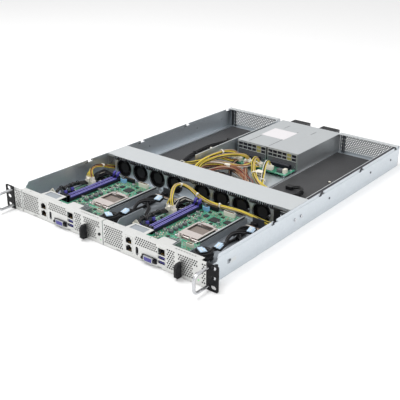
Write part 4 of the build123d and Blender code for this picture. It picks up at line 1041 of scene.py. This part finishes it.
rightRoute = [
    (21.5, 149, 26), (21.5, 149, 33.5), (17.5, 156.5, 39.5), (8, 168.5, 39.8),
    (-2.4, 184, 39.4), (-10, 201, 38), (-7.6, 216, 34), (5, 222.4, 27), (24, 221.4, 18.6),
    (43, 220.6, 14.6), (60, 220.4, 12.8), (78, 220.6, 13.6), (96, 220.4, 15.8),
    (114, 220.6, 16.9), (132, 220.4, 16.6), (149, 220.2, 14.6), (165, 220.6, 11.2),
    (181, 223.6, 8.4), (194, 233, 7.2), (201, 250, 6.4), (202, 272, 6.2), (196, 296, 6.4),
    (178, 316, 6.6), (150, 332, 6.8), (118, 344, 7.4), (88, 352, 8.6), (66, 361, 9.8),
    (44, 376, 10.6), (27, 393, 10.8), (15.2, 408, 11.2), (8.9, 422, 12), (8.5, 434.7, 12.1),
]
leftRoute = [
    (-182.5, 149, 26), (-182.5, 149, 33.5), (-186, 156.5, 38.6), (-192, 169, 38),
    (-197.6, 185, 34.6), (-201, 202, 28.4), (-204, 221, 19.6), (-206, 241, 12),
    (-207, 263, 8.4), (-204, 287, 7), (-190, 306, 6.6), (-166, 317, 6.8), (-138, 322, 9),
    (-114, 323, 14.6), (-92.6, 324.4, 22.6), (-73.6, 329.6, 28.4), (-65.6, 342.6, 30.2),
    (-64.8, 362, 30.4), (-64.4, 382, 28.6), (-60.4, 399, 23.4), (-51.6, 412, 17),
    (-43.9, 422, 12.6), (-43.5, 434.7, 12.1),
]
rearRoute = [
    (-96, 302, 5.2), (-112, 320, 5.6), (-124, 343, 5.9), (-134, 368, 6.1), (-142, 394, 6.2),
    (-147, 422, 6.1), (-150, 452, 6.2), (-149, 482, 6.1), (-144, 511, 6.0), (-136, 538, 5.9),
]
trunk = {"wire": 1.0, "spread": 2.5, "twist": 0.035, "loose": 0.12, "fan": 16, "seed": 3}
plugGrid = [(-6.3 + i * 4.2, j * 2.1, 0) for i in range(4) for j in (-1, 1)]
trayEnd, chassisEnd = -0.150, -0.105  # metres; the harness stretches between them


def powerHarness(side, route, jackets, ties):
    # ties are at distances along the route, in mm
    parts, path = bundle(route, jackets, trunk, plugGrid, plugGrid)
    for along in ties:
        parts += tieRing(path, int(along / pathStep), 3.3)
    x = route[0][0] * mm
    ends = (Vector((x, chassisEnd, 0.03)), Vector((x, trayEnd, 0.03)))
    addPiece("powerHarness_" + side, parts, ("chassis", "tray_" + side, *ends),
             [side + "_harness"])


powerHarness("right", rightRoute, ["yellowWire", "yellowWire", "blackWire", "yellowWire",
                                   "yellowWire", "tanWire", "yellowWire", "blackWire"],
             (78, 118, 172, 452))
powerHarness("left", leftRoute, ["yellowWire", "blackWire", "yellowWire", "tanWire",
                                 "yellowWire", "blackWire", "orangeWire", "yellowWire"],
             (60, 330))
print("power harnesses made")


# Loose leads on the node trays

leadShape = {"wire": 1.35, "spread": 2.2, "twist": 0.05, "loose": 0.2, "fan": 10, "seed": 5}
thinShape = {"wire": 0.65, "spread": 1.5, "twist": 0.06, "loose": 0.35, "fan": 8, "seed": 9}


def driveLeads(side):
    # three upright drive plugs beside the memory sockets, with their cables folded back
    parts = []
    for i, (x, y) in enumerate(((11, 58), (12, 76), (10, 94))):
        addBlocks(parts, [("slotBody", (x, y, boardTop), (x + 15, y + 9, boardTop + 7), 0.5),
                          ("displayPlastic", (x + 1.5, y + 1.2, boardTop + 7),
                           (x + 13.5, y + 7.8, boardTop + 13), 0.8)])
        clip = [(y - 0.6, 14), (y + 1.2, 14), (y + 2.4, 21.6), (y + 1.4, 22)]
        parts.append((prism(clip, x + 4.5, x + 10.5, "X"), "tinShell"))
        path = smoothPath([(x + 7.5, y + 4.5, 20), (x + 7.5, y + 7, 25 + i),
                           (x + 5, y + 18, 26 - i), (x, y + 34, 21 - 2 * i),
                           (9 + 2 * i, 132, 18 - 2 * i), (6 + 3 * i, 156, 12),
                           (6 + 4 * i, 182, 14 + 4 * i), (8 + 4 * i, 207, 12)])
        for shift in (-1.6, 1.6):
            wire = [p + Vector((shift, 0, 0)) for p in path]
            parts.append((wireTube(wire, 1.7), "blackWire"))
        parts += tieRing(path, 9 + 2 * i, 3.4, "blackPlastic")
    for i in range(4):
        arc = [(6 + 4 * i, 160, 13), (10 + 3 * i, 165 + i, 24 + i),
               (19 - 2 * i, 178 + 2 * i, 31 - 2 * i), (15 + 3 * i, 192, 27 - 3 * i),
               (19 + 2 * i, 207, 13)]
        pale = side == "right" and i in (0, 2)
        parts.append((wireTube(smoothPath(arc), 0.7 if pale else 1.4),
                      "whiteWire" if pale else "blackWire"))
    addBlocks(parts, [("blackPlastic", (8, 170, 22), (20, 186, 25), 0.4)])
    stripes = [(9.4 + i * 2.3, 178, 25) for i in range(5)]
    parts.append(repeated(block((-0.55, -7.6, -0.1), (0.55, 7.6, 0.15)), "whiteNylon", stripes))
    addPiece("driveLeads_" + side, parts, "tray_" + side, x=nodeEdge[side])


def channelLeads(side):
    # the front panel cable in its channel, with black plugs whose pale blue tops and white ridges
    # are painted glints, spare loops and the raised sheets beside it
    x, z = 155, 5.1
    route = [(x + 14, 30, z), (x + 8, 52, z), (x - 2, 78, z), (x - 4, 106, z), (x + 3, 134, z),
             (x + 5, 160, z), (x, 186, z), (x - 2, 205, z)]
    parts, path = bundle(route, ["blackWire"] * 5, {**leadShape, "spread": 1.4, "wire": 1.05})
    for index in (30, 62):
        parts += tieRing(path, index, 2.7, "blackPlastic")
    coil = []
    for i in range(40):
        turn = i * 0.51
        coil.append((160 + (14 - 0.065 * i) * math.cos(turn),
                     61 + (11 + 0.1 * i) * math.sin(turn), 7 + 0.32 * i))
    coil += [(168, 78, 17), (170, 84, 17)]
    loops = (coil,
             [(171, 96, 16), (168, 108, 12), (160, 120, 13), (158, 134, 18), (161, 148, 18),
              (168, 156, 17), (174, 160, 17)],
             [(150, 152, 6), (152, 164, 15), (162, 172, 20), (174, 178, 17), (180, 190, 10),
              (172, 203, 8)],
             [(186, 120, 5), (182, 134, 10), (172, 142, 14), (160, 150, 12), (152, 166, 8),
              (150, 186, 7), (154, 204, 7)])
    for points in loops:
        parts += bundle(points, ["blackWire"] * 4, leadShape)[0]
    thin = [(150, 190, 8), (156, 180, 16), (168, 172, 22), (180, 176, 18), (188, 190, 10),
            (190, 204, 8)]
    parts += bundle(thin, ["yellowWire", "whiteWire", "blackWire", "tanWire"], thinShape)[0]
    # the pale blue tops and the white ridge paint the glints on the black plug
    plug = (("blackPlastic", (-7, -8, -3.4), (7, 8, 1.2), 0.7),
            ("paleBlue", (-5.6, -9, 1.1), (3.4, 7, 3.2), 0.38),
            ("paleBlue", (3.6, -9, 1.1), (5.8, 4, 2.6), 0.38),
            ("blackPlastic", (-5, 8, -2.4), (5, 12, 1.0), 0.7),
            ("whiteNylon", (-1.6, -7, 3), (0.2, 3, 3.8), 0.38))
    for place, turn, lift in (((170, 88, 18.5), 8, 6), ((177, 166, 19), 14, 4),
                              ((160, 56, 21), 60, 0)):
        addBlocks(parts, plug, place, turn, lift)
    # the partition plate is painted in shade, and the light strip on its top edge is a painted
    # highlight
    addBlocks(parts, [("shadedZinc", (134.2, 84, 2.3), (135, 206, 18), 0.1),
                      ("coverSheet", (132.8, 84, 17.2), (135.2, 206, 18.2), 0.2),
                      ("coverSheet", (135, 84, 12.6), (135.4, 206, 13.6), 0.1),
                      ("shadedZinc", (148, 210.4, 2.3), (172, 211.4, 19), 0.2),
                      ("blackPlastic", (x + 8, 14, 2.3), (x + 20, 29, 10.3), 0.5),
                      ("blackPlastic", (x - 8, 205.6, 2.3), (x + 4, 214, 10.3), 0.5)])
    addPiece("channelLeads_" + side, parts, "tray_" + side, ["signal_cable_" + side],
             nodeEdge[side])


for side in sides:
    driveLeads(side)
    channelLeads(side)
print("node leads made")


# Fan wall trim

fanRow = {"frameDepth": 8, "ribPitch": 4.4, "clipPitch": 22, "fanPitch": 44,
          "firstFans": (-173, 25)}


def fanTrim(v):
    # ribbed lip under the cover's front edge, rubber corner pads and the fans' leads
    front = drawnBox("fan_bar")[0][1]
    low, high = drawnBox("fan_wall")
    x0, x1, wall = low[0], high[0], low[1] + v["frameDepth"]
    parts = [(block((x0, front - 0.35, 37.2), (x1, front, 42.3)), "slotBody")]
    ribs = [(x0 + 1.5 + i * v["ribPitch"], front - 0.2, 39.6)
            for i in range(int((x1 - x0) / v["ribPitch"]))]
    parts.append(repeated(block((-0.7, -0.6, -2.2), (0.7, 0.3, 2.2), 0.1), "zincSheet", ribs))
    clips = [(x0 + 12 + i * v["clipPitch"], front - 1.2, 38.4)
             for i in range(int((x1 - x0 - 12) / v["clipPitch"]) + 1)]
    parts.append(repeated(block((-3.2, -1.6, -2.2), (3.2, 0.6, 2.0), 0.6), "blackPlastic", clips))
    lip = [(front - 0.6, 42.2), (front + 0.3, 42.2), (front + 0.3, 43.5), (front - 0.6, 43.2)]
    parts.append((prism(lip, x0, x1, "X"), "coverSheet"))
    fans = [start + i * v["fanPitch"] for start in v["firstFans"] for i in range(4)]
    pads = [(x + i * 20.4, wall - 0.4, 37.4) for x in fans for i in (-1, 1)]
    parts.append(repeated(block((-3.4, -1.3, -3.2), (3.4, 0.3, 3.2), 1.2), "blackPlastic", pads))
    screws = [(x + i * 18, wall - 0.2, 37.6) for x in fans for i in (-1, 1)]
    parts.append(repeated(turned([(1.6, -1.1), (1.6, -0.2)], axis="Y", steps=10), "nickelBar",
                          screws))
    for i, x in enumerate(fans):
        ring = turned([(18.85, -0.5), (19.6, -0.5), (19.6, 0.0), (18.85, 0.0)],
                      (x, wall, 21), "Y", 32, hoop=True)
        parts.append((ring, "blackPlastic"))
        route = [(x + 19, wall - 2, 37), (x + 23, wall - 3.4, 38.4 - i % 2),
                 (x + 30, wall - 3, 36.6), (x + 36, wall - 2.4, 38.6), (x + 43, wall - 2.2, 37.6)]
        parts += bundle(route, ["blackWire"] * 4,
                        {**thinShape, "wire": 0.55, "spread": 0.9})[0]
    addPiece("fanTrim", parts, "chassis")


fanTrim(fanRow)
print("fan wall trim made")


# Power supplies and their cage

supplyLeft = {side: drawnBox("psu_module_" + side)[0][0] for side in sides}
edgeTongue, casingLength = 8, 179
cageFront = drawnBox("psu_module_left")[0][1] + edgeTongue
supplyBack = cageFront + casingLength
supplyFace = {"columns": 6, "rows": 2, "seed": 17, "chips": 60, "inlet": 17, "fan": (50, 20.9),
              "middle": 36, "gripRibs": 10}


def supplyDetails(side, v):
    # inner grid whose dark cells are black sheets painted as the shade behind it, lower board
    # edge, inlet core and fan guard; X counts from the module's side
    front, back = cageFront, supplyBack
    parts = []
    # black sheets behind the grid, painted as the shade seen through its cells
    addBlocks(parts, [("slotBody", (2, 1.6, 18.6), (70, 2.4, 39)),
                      ("polyesterTape", (43, 1.2, 24), (59, 1.65, 35), 0.2),
                      ("ferriteGrey", (2, -0.35, 1.8), (70, -0.02, 23), 0.1),
                      ("slotBody", (1, -0.3, 24.2), (71, -0.02, 39.8)),
                      ("polyesterTape", (46.6, -0.4, 25), (58.6, -0.3, 39))], (0, front, 0))
    bars = [(1.6 + i * 68.8 / v["columns"], front, 32) for i in range(v["columns"] + 1)]
    parts.append(repeated(block((-0.8, -0.75, -7.6), (0.8, -0.3, 7.6), 0.15), "supplySheet",
                          bars))
    for i in range(v["rows"] + 1):
        addBlocks(parts, [("supplySheet", (0.6, -0.77, -0.75), (71.4, -0.3, 0.75), 0.15)],
                  (0, front, 24.6 + i * 7.4))
    rng = random.Random(v["seed"])
    chips = [((rng.uniform(4, 68), front - 0.5, rng.uniform(3, 16)), (0, 0, 0),
              (rng.uniform(0.6, 2.4), 1, rng.uniform(0.6, 1.8))) for i in range(v["chips"])]
    parts.append(repeated(block((-0.7, -0.5, -0.6), (0.7, 0.2, 0.6)), "tinShell", chips))
    x = v["inlet"]
    addBlocks(parts, [("blackPlastic", *corners) for corners in (
        ((-11.95, -15.9, 10.05), (11.95, -0.2, 10.8)),
        ((-11.95, -15.9, 27.2), (11.95, -0.2, 27.95)),
        ((-11.95, -15.9, 10.05), (-11.2, -0.2, 27.95)),
        ((11.2, -15.9, 10.05), (11.95, -0.2, 27.95)),
        ((-8.05, -15.9, 13.95), (8.05, -3.9, 24.05)))], (x, back, 0))
    pins = [(x - 5, back - 3.9, 17), (x + 5, back - 3.9, 17), (x, back - 3.9, 21)]
    parts.append(repeated(block((-0.9, -0.2, -1.6), (0.9, 0.1, 1.6)), "nickelBar", pins))
    fan = (v["fan"][0], back, v["fan"][1])
    for radius in (5, 9.5, 14, 18.5):
        ring = turned([(radius - 0.55, 0), (radius + 0.55, 0), (radius + 0.4, 0.7),
                       (radius - 0.4, 0.7)], fan, "Y", 32, hoop=True)
        parts.append((ring, "nickelBar"))
    parts.append(repeated(block((-19, 0.1, -0.6), (19, 0.8, 0.6), 0.2), "nickelBar",
                          [(fan, (0, turn, 0)) for turn in (45, 135)]))
    ribs = [(v["middle"], back + 2.4 + i * 2.3, 40.1) for i in range(v["gripRibs"])]
    parts.append(repeated(block((-19.5, -0.65, -0.1), (19.5, 0.65, 0.7), 0.25), "blackPlastic",
                          ribs))
    addPiece("supplyDetails_" + side, parts, "psu_" + side, x=supplyLeft[side])


def cageTrim():
    # bare label, dark joint between the supplies, a small ledge along the film's edge painted
    # bright as its highlight, and small rivets
    parts = []
    addBlocks(parts, [("labelPaper", (-48, 530, 41.98), (10, 586, 42.12), 0.03),
                      ("slotBody", (6.1, cageFront - 0.5, 2), (7.9, cageFront + 0.2, 41.2)),
                      ("slotBody", (-44.2, 484, 41.9), (-43.4, 530, 42.06)),
                      ("slotBody", (6.6, 487, 41.9), (7.4, 594, 42.06)),
                      # small ledge along the film's edge, painted bright as its highlight
                      ("nickelBar", (82.3, 240, 1), (84.6, 640, 1.9), 0.1)])
    rivet = turned([(1.6, 0), (1.5, 0.35), (0.9, 0.6), (0.001, 0.65)], steps=10)
    spots = [(x, y, 42) for x in (-63, 77) for y in (480, 560, 640)]
    parts.append(repeated(rivet, "supplySheet", spots))
    addPiece("cageTrim", parts, "chassis")


def supplyCasing():
    # plated steel casing with a moulded black pull handle behind it
    zincSheet("supplyCasing", "#B6BABC", "#C9CCCE", (0.38, 0.5), 8.0)
    tree = palette["supplyCasing"].node_tree
    steel = tree.nodes["Principled BSDF"]
    place = addNode(tree, "ShaderNodeTexCoord").outputs["Object"]
    depth = addNode(tree, "ShaderNodeSeparateXYZ", {0: place}).outputs["Y"]
    edge = (supplyBack + 0.05) * mm + frontPlane
    behind = addNode(tree, "ShaderNodeMath", {0: depth, 1: edge}, operation="GREATER_THAN")
    grain = addNode(tree, "ShaderNodeTexNoise", {"Vector": place, "Scale": 1 / (0.6 * mm)})
    tint = addNode(tree, "ShaderNodeMix",
                   {"Factor": grain.outputs["Fac"], 6: "#232326", 7: "#343438"}, data_type="RGBA")
    plastic = addNode(tree, "ShaderNodeBsdfPrincipled",
                      {"Base Color": tint.outputs[2], "Roughness": 0.45, "IOR": 1.55})
    both = addNode(tree, "ShaderNodeMixShader", {0: behind.outputs[0], 1: steel.outputs[0],
                                                 2: plastic.outputs[0]})
    tree.links.new(both.outputs[0], tree.nodes["Material Output"].inputs["Surface"])


supplyCasing()
for side in sides:
    supplyDetails(side, supplyFace)
    nodes["psu_module_" + side].data.materials[0] = palette["supplyCasing"]
cageTrim()
print("power supplies dressed")


# Power board and its leads

boardRow = {"top": 7.6, "plugPitch": 26, "seed": 23, "cans": 5, "small": 110}


def powerBoard(v):
    # board on its posts, with card-edge sockets, plugs, cans and small parts
    (x0, front), (x1, back) = [corner[:2] for corner in drawnBox("power_board")]
    top = v["top"]
    parts = [(block((x0, front, top - 1.6), (x1, back, top), 0.15), "solderMask")]
    posts = [(x, y, top) for x in (x0 + 6, x1 - 6) for y in (front + 6, back - 6)]
    parts.append(repeated(turned([(3, -6.6), (3, -1.6)]), "tinShell", posts))
    parts.append(repeated(turned([(2.6, 0), (2.6, 1), (1.8, 1.6)]), "nickelBar", posts))
    taken = [(x - 4, x + 4, y - 4, y + 4) for x, y, z in posts]
    for side in sides:
        left, right = supplyLeft[side] + 12, supplyLeft[side] + 60
        addBlocks(parts, [("slotBody", (left, cageFront - 11, top),
                           (right, cageFront - 1, top + 9), 0.4)])
        slits = [(left + 2.6 + i * 2.2, cageFront - 6, top + 9) for i in range(20)]
        parts.append(repeated(block((-0.5, -3.4, -0.2), (0.5, 3.4, 0.1)), "ferriteGrey",
                              slits))
        taken.append((left - 1, right + 1, cageFront - 13, cageFront))
    for i in range(4):
        left = x0 + 10 + i * v["plugPitch"]
        addBlocks(parts, [("whiteNylon", (0, 3, 0), (17, 13, 9), 0.5),
                          ("whiteNylon", (1, 0.6, 1.4), (16, 3.4, 8), 0.4),
                          ("whiteNylon", (6, 2, 8.4), (11, 14, 11), 0.5)], (left, front, top))
        taken.append((left - 1, left + 18, front, front + 14))
    rng = random.Random(v["seed"])
    zones = [(x0 + 2, x1 - 2, front + 13, cageFront - 13), (x1 - 20, x1 - 2, front + 1, back - 2)]
    cans = freeSpots(rng, zones, taken, v["cans"], (6.4, 6.4), z=top)
    parts.append(repeated(turned([(3.1, 0), (3.1, 6.4), (2.8, 7)], steps=14), "tinShell", cans))
    addBlocks(parts, [("ferriteGrey", (-24, 5, 0), (-12, 15, 7), 0.5),
                      ("whiteNylon", (-11, 6, 0), (-4, 16, 9), 0.5)], (x1, front, top))
    taken.append((x1 - 25, x1 - 3, front + 4, front + 17))
    small = freeSpots(rng, zones, taken, v["small"], (2.2, 1.3), 0.2, top)
    parts.append(repeated(block((-1, -0.6, 0), (1, 0.6, 1.0)), "tinShell", small))
    addPiece("powerBoard", parts, "chassis", ["power_board"])
    return x0, front, top


def supplyLeads(x0, front, top):
    # more wires from the board: they rise from the plugs and dive under the cover
    y, z = front + 0.4, top + 4.6
    plug = [x0 + 18.5 + i * boardRow["plugPitch"] for i in range(5)]
    over = top + 11
    yellow = ["yellowWire", "yellowWire", "blackWire", "yellowWire", "yellowWire", "tanWire"] * 2
    brown = ["redWire", "orangeWire", "tanWire", "redWire", "blackWire", "tanWire",
             "orangeWire"] * 2
    mixed = ["tanWire", "orangeWire", "whiteWire", "tanWire", "blackWire", "yellowWire"] * 2
    runs = (
        (yellow, [(plug[0], 440, over), (plug[0] - 1, 436, 26), (plug[0] - 6, 424, 33),
                  (-56, 408, 35.5), (-60, 388, 35.5), (-62, 366, 34.5), (-64, 345, 32),
                  (-64, 325, 27), (-58, 306, 21), (-48, 290, 16), (-38, 276, 13)], 3.0),
        (yellow, [(plug[1], 440, over), (plug[1] - 1, 435, 26), (plug[1] - 8, 424, 31),
                  (-36, 410, 32), (-47, 394, 32), (-55, 376, 30), (-60, 355, 28), (-60, 334, 24),
                  (-52, 314, 19), (-40, 296, 15), (-28, 278, 12)], 2.8),
        (brown, [(-69, 330, 8), (-68, 350, 12), (-62, 368, 14), (-46, 382, 14), (-24, 385, 13),
                 (-2, 379, 12), (20, 369, 11), (42, 358, 9.5), (60, 342, 9), (76, 322, 9),
                 (88, 302, 10), (96, 282, 11)], 4.6),
        (mixed, [(-66, 322, 22), (-66, 342, 24), (-60, 362, 22), (-46, 378, 20), (-24, 386, 19),
                 (-4, 391, 19), (6, 402, 20), (9, 416, 22), (plug[2], 428, 17),
                 (plug[2], y, z)], 3.2),
        (yellow, [(plug[2], 440, over), (plug[2] - 1, 436, 27), (9, 424, 32), (17, 406, 27),
                  (30, 389, 19), (48, 372, 12.5), (70, 356, 9), (94, 345, 7.5), (118, 334, 7),
                  (134, 314, 7), (140, 294, 8), (142, 276, 10)], 2.6),
        (["yellowWire", "blackWire", "whiteWire", "yellowWire", "blackWire", "whiteWire",
          "yellowWire"],
         [(plug[3], 440, over), (plug[3] + 1, 435, 27), (38, 424, 31), (44, 408, 24),
          (52, 393, 16), (60, 377, 10), (72, 360, 7), (86, 340, 7), (98, 318, 8),
          (106, 296, 9), (110, 278, 11)], 2.3),
        (brown, [(plug[1] + 4, y, z), (plug[1] + 5, 422, 14), (-4, 408, 14), (8, 394, 13),
                 (22, 378, 11), (36, 362, 9.5), (52, 345, 9), (66, 326, 9), (76, 306, 10),
                 (84, 284, 12)], 3.6),
        (brown, [(-50, 300, 9), (-46, 322, 13), (-38, 344, 17), (-26, 362, 20), (-12, 374, 20),
                 (4, 378, 17), (20, 372, 13), (34, 358, 11), (46, 340, 10), (54, 318, 10),
                 (60, 296, 11)], 4.2),
        (["blackWire", "whiteWire", "blackWire", "tanWire", "blackWire"],
         [(-58, 296, 8), (-56, 318, 9), (-50, 338, 10), (-38, 354, 9), (-20, 362, 7.5),
          (0, 358, 7), (18, 344, 7), (30, 324, 7), (38, 302, 8)], 3.4),
        (["blackWire", "tanWire", "blackWire", "orangeWire", "blackWire", "blackWire"],
         [(plug[0] + 4, y, z), (plug[0] + 6, 421, 13), (-32, 404, 10), (-24, 386, 7),
          (-10, 366, 6.4), (8, 346, 6.4), (24, 326, 6.6), (36, 304, 8), (44, 282, 10)], 3.0),
    )
    parts = []
    for number, (jackets, route, spread) in enumerate(runs):
        more, path = bundle(route, jackets, {**trunk, "wire": 0.95, "spread": spread,
                                             "rings": (1, 0.5, 0.9), "loose": 0.35,
                                             "seed": 31 + number})
        parts += more
        if number == 5:
            addBlocks(parts, [("whiteNylon", (34, 389, 8), (50, 401, 20), 0.7)])
            sockets = [(36.5 + i * 3.7, 388.98, 11.6 + j * 5) for i in range(4) for j in (0, 1)]
            parts.append(repeated(block((-1.2, -0.1, -1.6), (1.2, 0.1, 1.6)), "slotBody",
                                  sockets))
        if number in (0, 4, 5):
            parts += tieRing(path, 24 + 3 * number, spread + 1.2)
    for place, turn, finish in (((-20, 370, 24), 20, "whiteNylon"),
                                ((-44, 352, 13), -15, "slotBody"),
                                ((-30, 346, 10), 40, "whiteNylon"),
                                ((-43, 424, 24), 70, "whiteNylon"),
                                ((-6, 352, 11), 10, "slotBody")):
        addBlocks(parts, [(finish, (-5.5, -3.5, -3), (5.5, 3.5, 3), 0.6)], place, turn)
    addPiece("supplyLeads", parts, "chassis")


supplyLeads(*powerBoard(boardRow))
print("power board and leads made")


# Drive bays and walls

wallFittings = {
    "anchors": [((-76.1, 392, 40.6), (0, -90, 0), (0.85, 0.85, 0.85)),
                ((203, 383, 41), (0, 0, 0), (0.7, 0.7, 0.45)),
                ((-150, 470, 1.6), (0, 0, 0), (0.8, 0.8, 0.6))],
    "screws": (239.6, 258.4, 357, 520.7, 611.4, 56), "notchShades": (175, 326, 477),
    "bayCord": [(120, 392, 6), (132, 396, 9), (144, 388, 11), (152, 374, 9), (146, 360, 6),
                (134, 350, 5.6), (124, 338, 5.6), (120, 320, 5.6), (122, 300, 5.6)],
}


def rearLead():
    # cord across the left bay, with its ties and plug
    parts, path = bundle(rearRoute, ["blackWire"] * 7,
                         {**leadShape, "wire": 1.2, "spread": 2.5, "loose": 0.08})
    parts += tieRing(path, 34, 3.8) + tieRing(path, 66, 3.8, "blackPlastic")
    x, y, z = rearRoute[-1]
    addBlocks(parts, [("blackPlastic", (x - 11, y, 1.8), (x + 11, y + 9, z + 3.4), 0.6),
                      # the plug's back face takes the navy shade colour too
                      ("groovePlastic", (x - 9, y + 8.4, 3), (x + 9, y + 9.1, z + 2))])
    addPiece("rearLead", parts, "chassis", ["rear_harness"])


def wallTrim(v):
    # cable anchors, edge caps, a light ledge with a dark strip painted as the shade under it,
    # screws, plates, dark marks painted as the shade in the wall's notches, and the cord of the
    # right bay
    parts = []
    knob = turned([(2.2, 0), (2.2, 2), (3.1, 2.6), (3.1, 4.4), (1.8, 5.2), (0.001, 5.4)],
                  steps=14)
    parts.append(repeated(knob, "whiteNylon", v["anchors"]))
    low, high = drawnBox("psu_bay_wall")
    addBlocks(parts, [("coverSheet", (low[0] - 0.2, low[1], high[2] - 0.2),
                       (low[0] + 1.9, high[1], high[2] + 0.25), 0.1),
                      ("coverSheet", (207.4, 292, 40.2), (208.8, 646, 41.8), 0.2),
                      # dark strip painted as the shade under the ledge
                      ("slotBody", (208.8, 290, 40.2), (216.4, 646, 40.8)),
                      ("blackPlastic", (199, 380, 40.3), (208, 387, 41), 0.1)])
    head = turned([(2.3, 0), (2.2, 0.7), (1.4, 1.2), (0.5, 1.2), (0.4, 0.8), (0.001, 0.8)],
                  steps=14)
    screws = [((sign * 218.95, y, 23.3), (0, sign * 90, 0))
              for sign in (-1, 1) for y in v["screws"]]
    parts.append(repeated(head, "shadedZinc", screws))
    for sign in (-1, 1):
        face = sorted((sign * 218.9, sign * 219.25))
        addBlocks(parts, [("coverSheet", (face[0], 58, 17.6), (face[1], 72, 24.4), 0.15)])
        notchShade = sorted((sign * 216.6, sign * 219.1))
        # dark marks at the wall's notches, painted as shade
        for y in v["notchShades"]:
            addBlocks(parts, [("slotBody", (notchShade[0], y - 1, 37.6), (notchShade[1], y + 1, 43.1)),
                              ("slotBody", (notchShade[0], y - 6, 37.6), (notchShade[1], y - 1, 39.0))])
    more, path = bundle(v["bayCord"], ["blackWire"] * 7, {**leadShape, "wire": 1.15,
                                                          "spread": 2.5})
    parts += more + tieRing(path, 20, 3.8, "blackPlastic")
    addBlocks(parts, [("blackPlastic", (108, 386, 1.7), (122, 397, 9), 0.6)])
    addPiece("wallTrim", parts, "chassis")


rearLead()
wallTrim(wallFittings)
print("bays dressed")


# Camera, lights and floor

# fitted to the photograph: place in metres, angles in degrees
photoView = {"place": (0.7682, -1.03157, 0.53554), "yaw": -38.545, "pitch": -23.820,
             "roll": 0.508, "focalPixels": 710.5, "imageWidth": 400, "sensor": 36.0}


def addCamera(v):
    yaw, pitch, roll = (math.radians(v[k]) for k in ("yaw", "pitch", "roll"))
    ahead = Vector((math.sin(yaw) * math.cos(pitch), math.cos(yaw) * math.cos(pitch),
                    math.sin(pitch)))
    right = Vector((math.cos(yaw), -math.sin(yaw), 0))
    up = right.cross(ahead)
    levelRight = right * math.cos(roll) + up * math.sin(roll)
    levelUp = up * math.cos(roll) - right * math.sin(roll)
    camera = bpy.data.objects.new("photoCamera", bpy.data.cameras.new("photoCamera"))
    turn = Matrix((levelRight, levelUp, -ahead)).transposed().to_4x4()
    camera.matrix_world = Matrix.Translation(v["place"]) @ turn
    camera.data.sensor_width = v["sensor"]
    camera.data.lens = v["focalPixels"] / v["imageWidth"] * v["sensor"]
    camera.data.clip_start = 0.05
    bpy.context.scene.collection.objects.link(camera)
    bpy.context.scene.camera = camera


studio = {"keyPlace": (-0.9, -0.5, 1.9), "keySize": 1.3, "keyPower": 24.0,
          "fillPlace": (1.9, -0.35, 1.0), "fillSize": 1.4, "fillPower": 14.0,
          "world": 0.78, "floorSize": 12.0}


def addLamp(name, place, size, power):
    lamp = bpy.data.lights.new(name, "AREA")
    lamp.size = size
    lamp.energy = power
    holder = bpy.data.objects.new(name, lamp)
    aim = (Vector((0, 0, 0)) - Vector(place)).to_track_quat("-Z", "Y")
    holder.matrix_world = Matrix.Translation(place) @ aim.to_matrix().to_4x4()
    bpy.context.scene.collection.objects.link(holder)


def seenWhite(tree):
    # the camera and mirrors see plain white here, everything else the real surface
    rays = addNode(tree, "ShaderNodeLightPath")
    both = addNode(tree, "ShaderNodeMath", {0: rays.outputs["Is Camera Ray"],
                                            1: rays.outputs["Is Glossy Ray"]}, operation="ADD")
    every = addNode(tree, "ShaderNodeMath", {0: both.outputs[0],
                                             1: rays.outputs["Is Transmission Ray"]},
                    operation="ADD", use_clamp=True)
    return every.outputs[0]


def addWorld(s):
    world = bpy.data.worlds.new("studio")
    bpy.context.scene.world = world
    world.use_nodes = True
    tree = world.node_tree
    plain = tree.nodes["Background"]
    plain.inputs["Color"].default_value = (1, 1, 1, 1)
    plain.inputs["Strength"].default_value = s["world"]
    white = addNode(tree, "ShaderNodeBackground", {"Color": (1, 1, 1, 1), "Strength": 1.0})
    factor = seenWhite(tree)
    mix = addNode(tree, "ShaderNodeMixShader", {0: factor, 1: plain.outputs[0],
                                                2: white.outputs[0]})
    tree.links.new(mix.outputs[0], tree.nodes["World Output"].inputs["Surface"])


def addFloor(s):
    # white painted sweep: a matt floor that keeps the shadow
    size = s["floorSize"]
    mesh = bpy.data.meshes.new("studioFloor")
    corners = [(-size, -size), (size, -size), (size, size), (-size, size)]
    mesh.from_pydata([(x, y, -0.0004) for x, y in corners], [], [(0, 1, 2, 3)])
    floor = bpy.data.objects.new("studioFloor", mesh)
    bpy.context.scene.collection.objects.link(floor)
    shader = startMaterial("studioFloorPaint")[1]
    shader.inputs["Base Color"].default_value = linear("#FDFDFD")
    shader.inputs["Roughness"].default_value = 0.9
    mesh.materials.append(palette["studioFloorPaint"])


addCamera(photoView)
addLamp("keyLamp", studio["keyPlace"], studio["keySize"], studio["keyPower"])
addLamp("fillLamp", studio["fillPlace"], studio["fillSize"], studio["fillPower"])
addWorld(studio)
addFloor(studio)
bpy.context.scene.view_settings.view_transform = "Standard"
print("camera, lamps and floor placed")
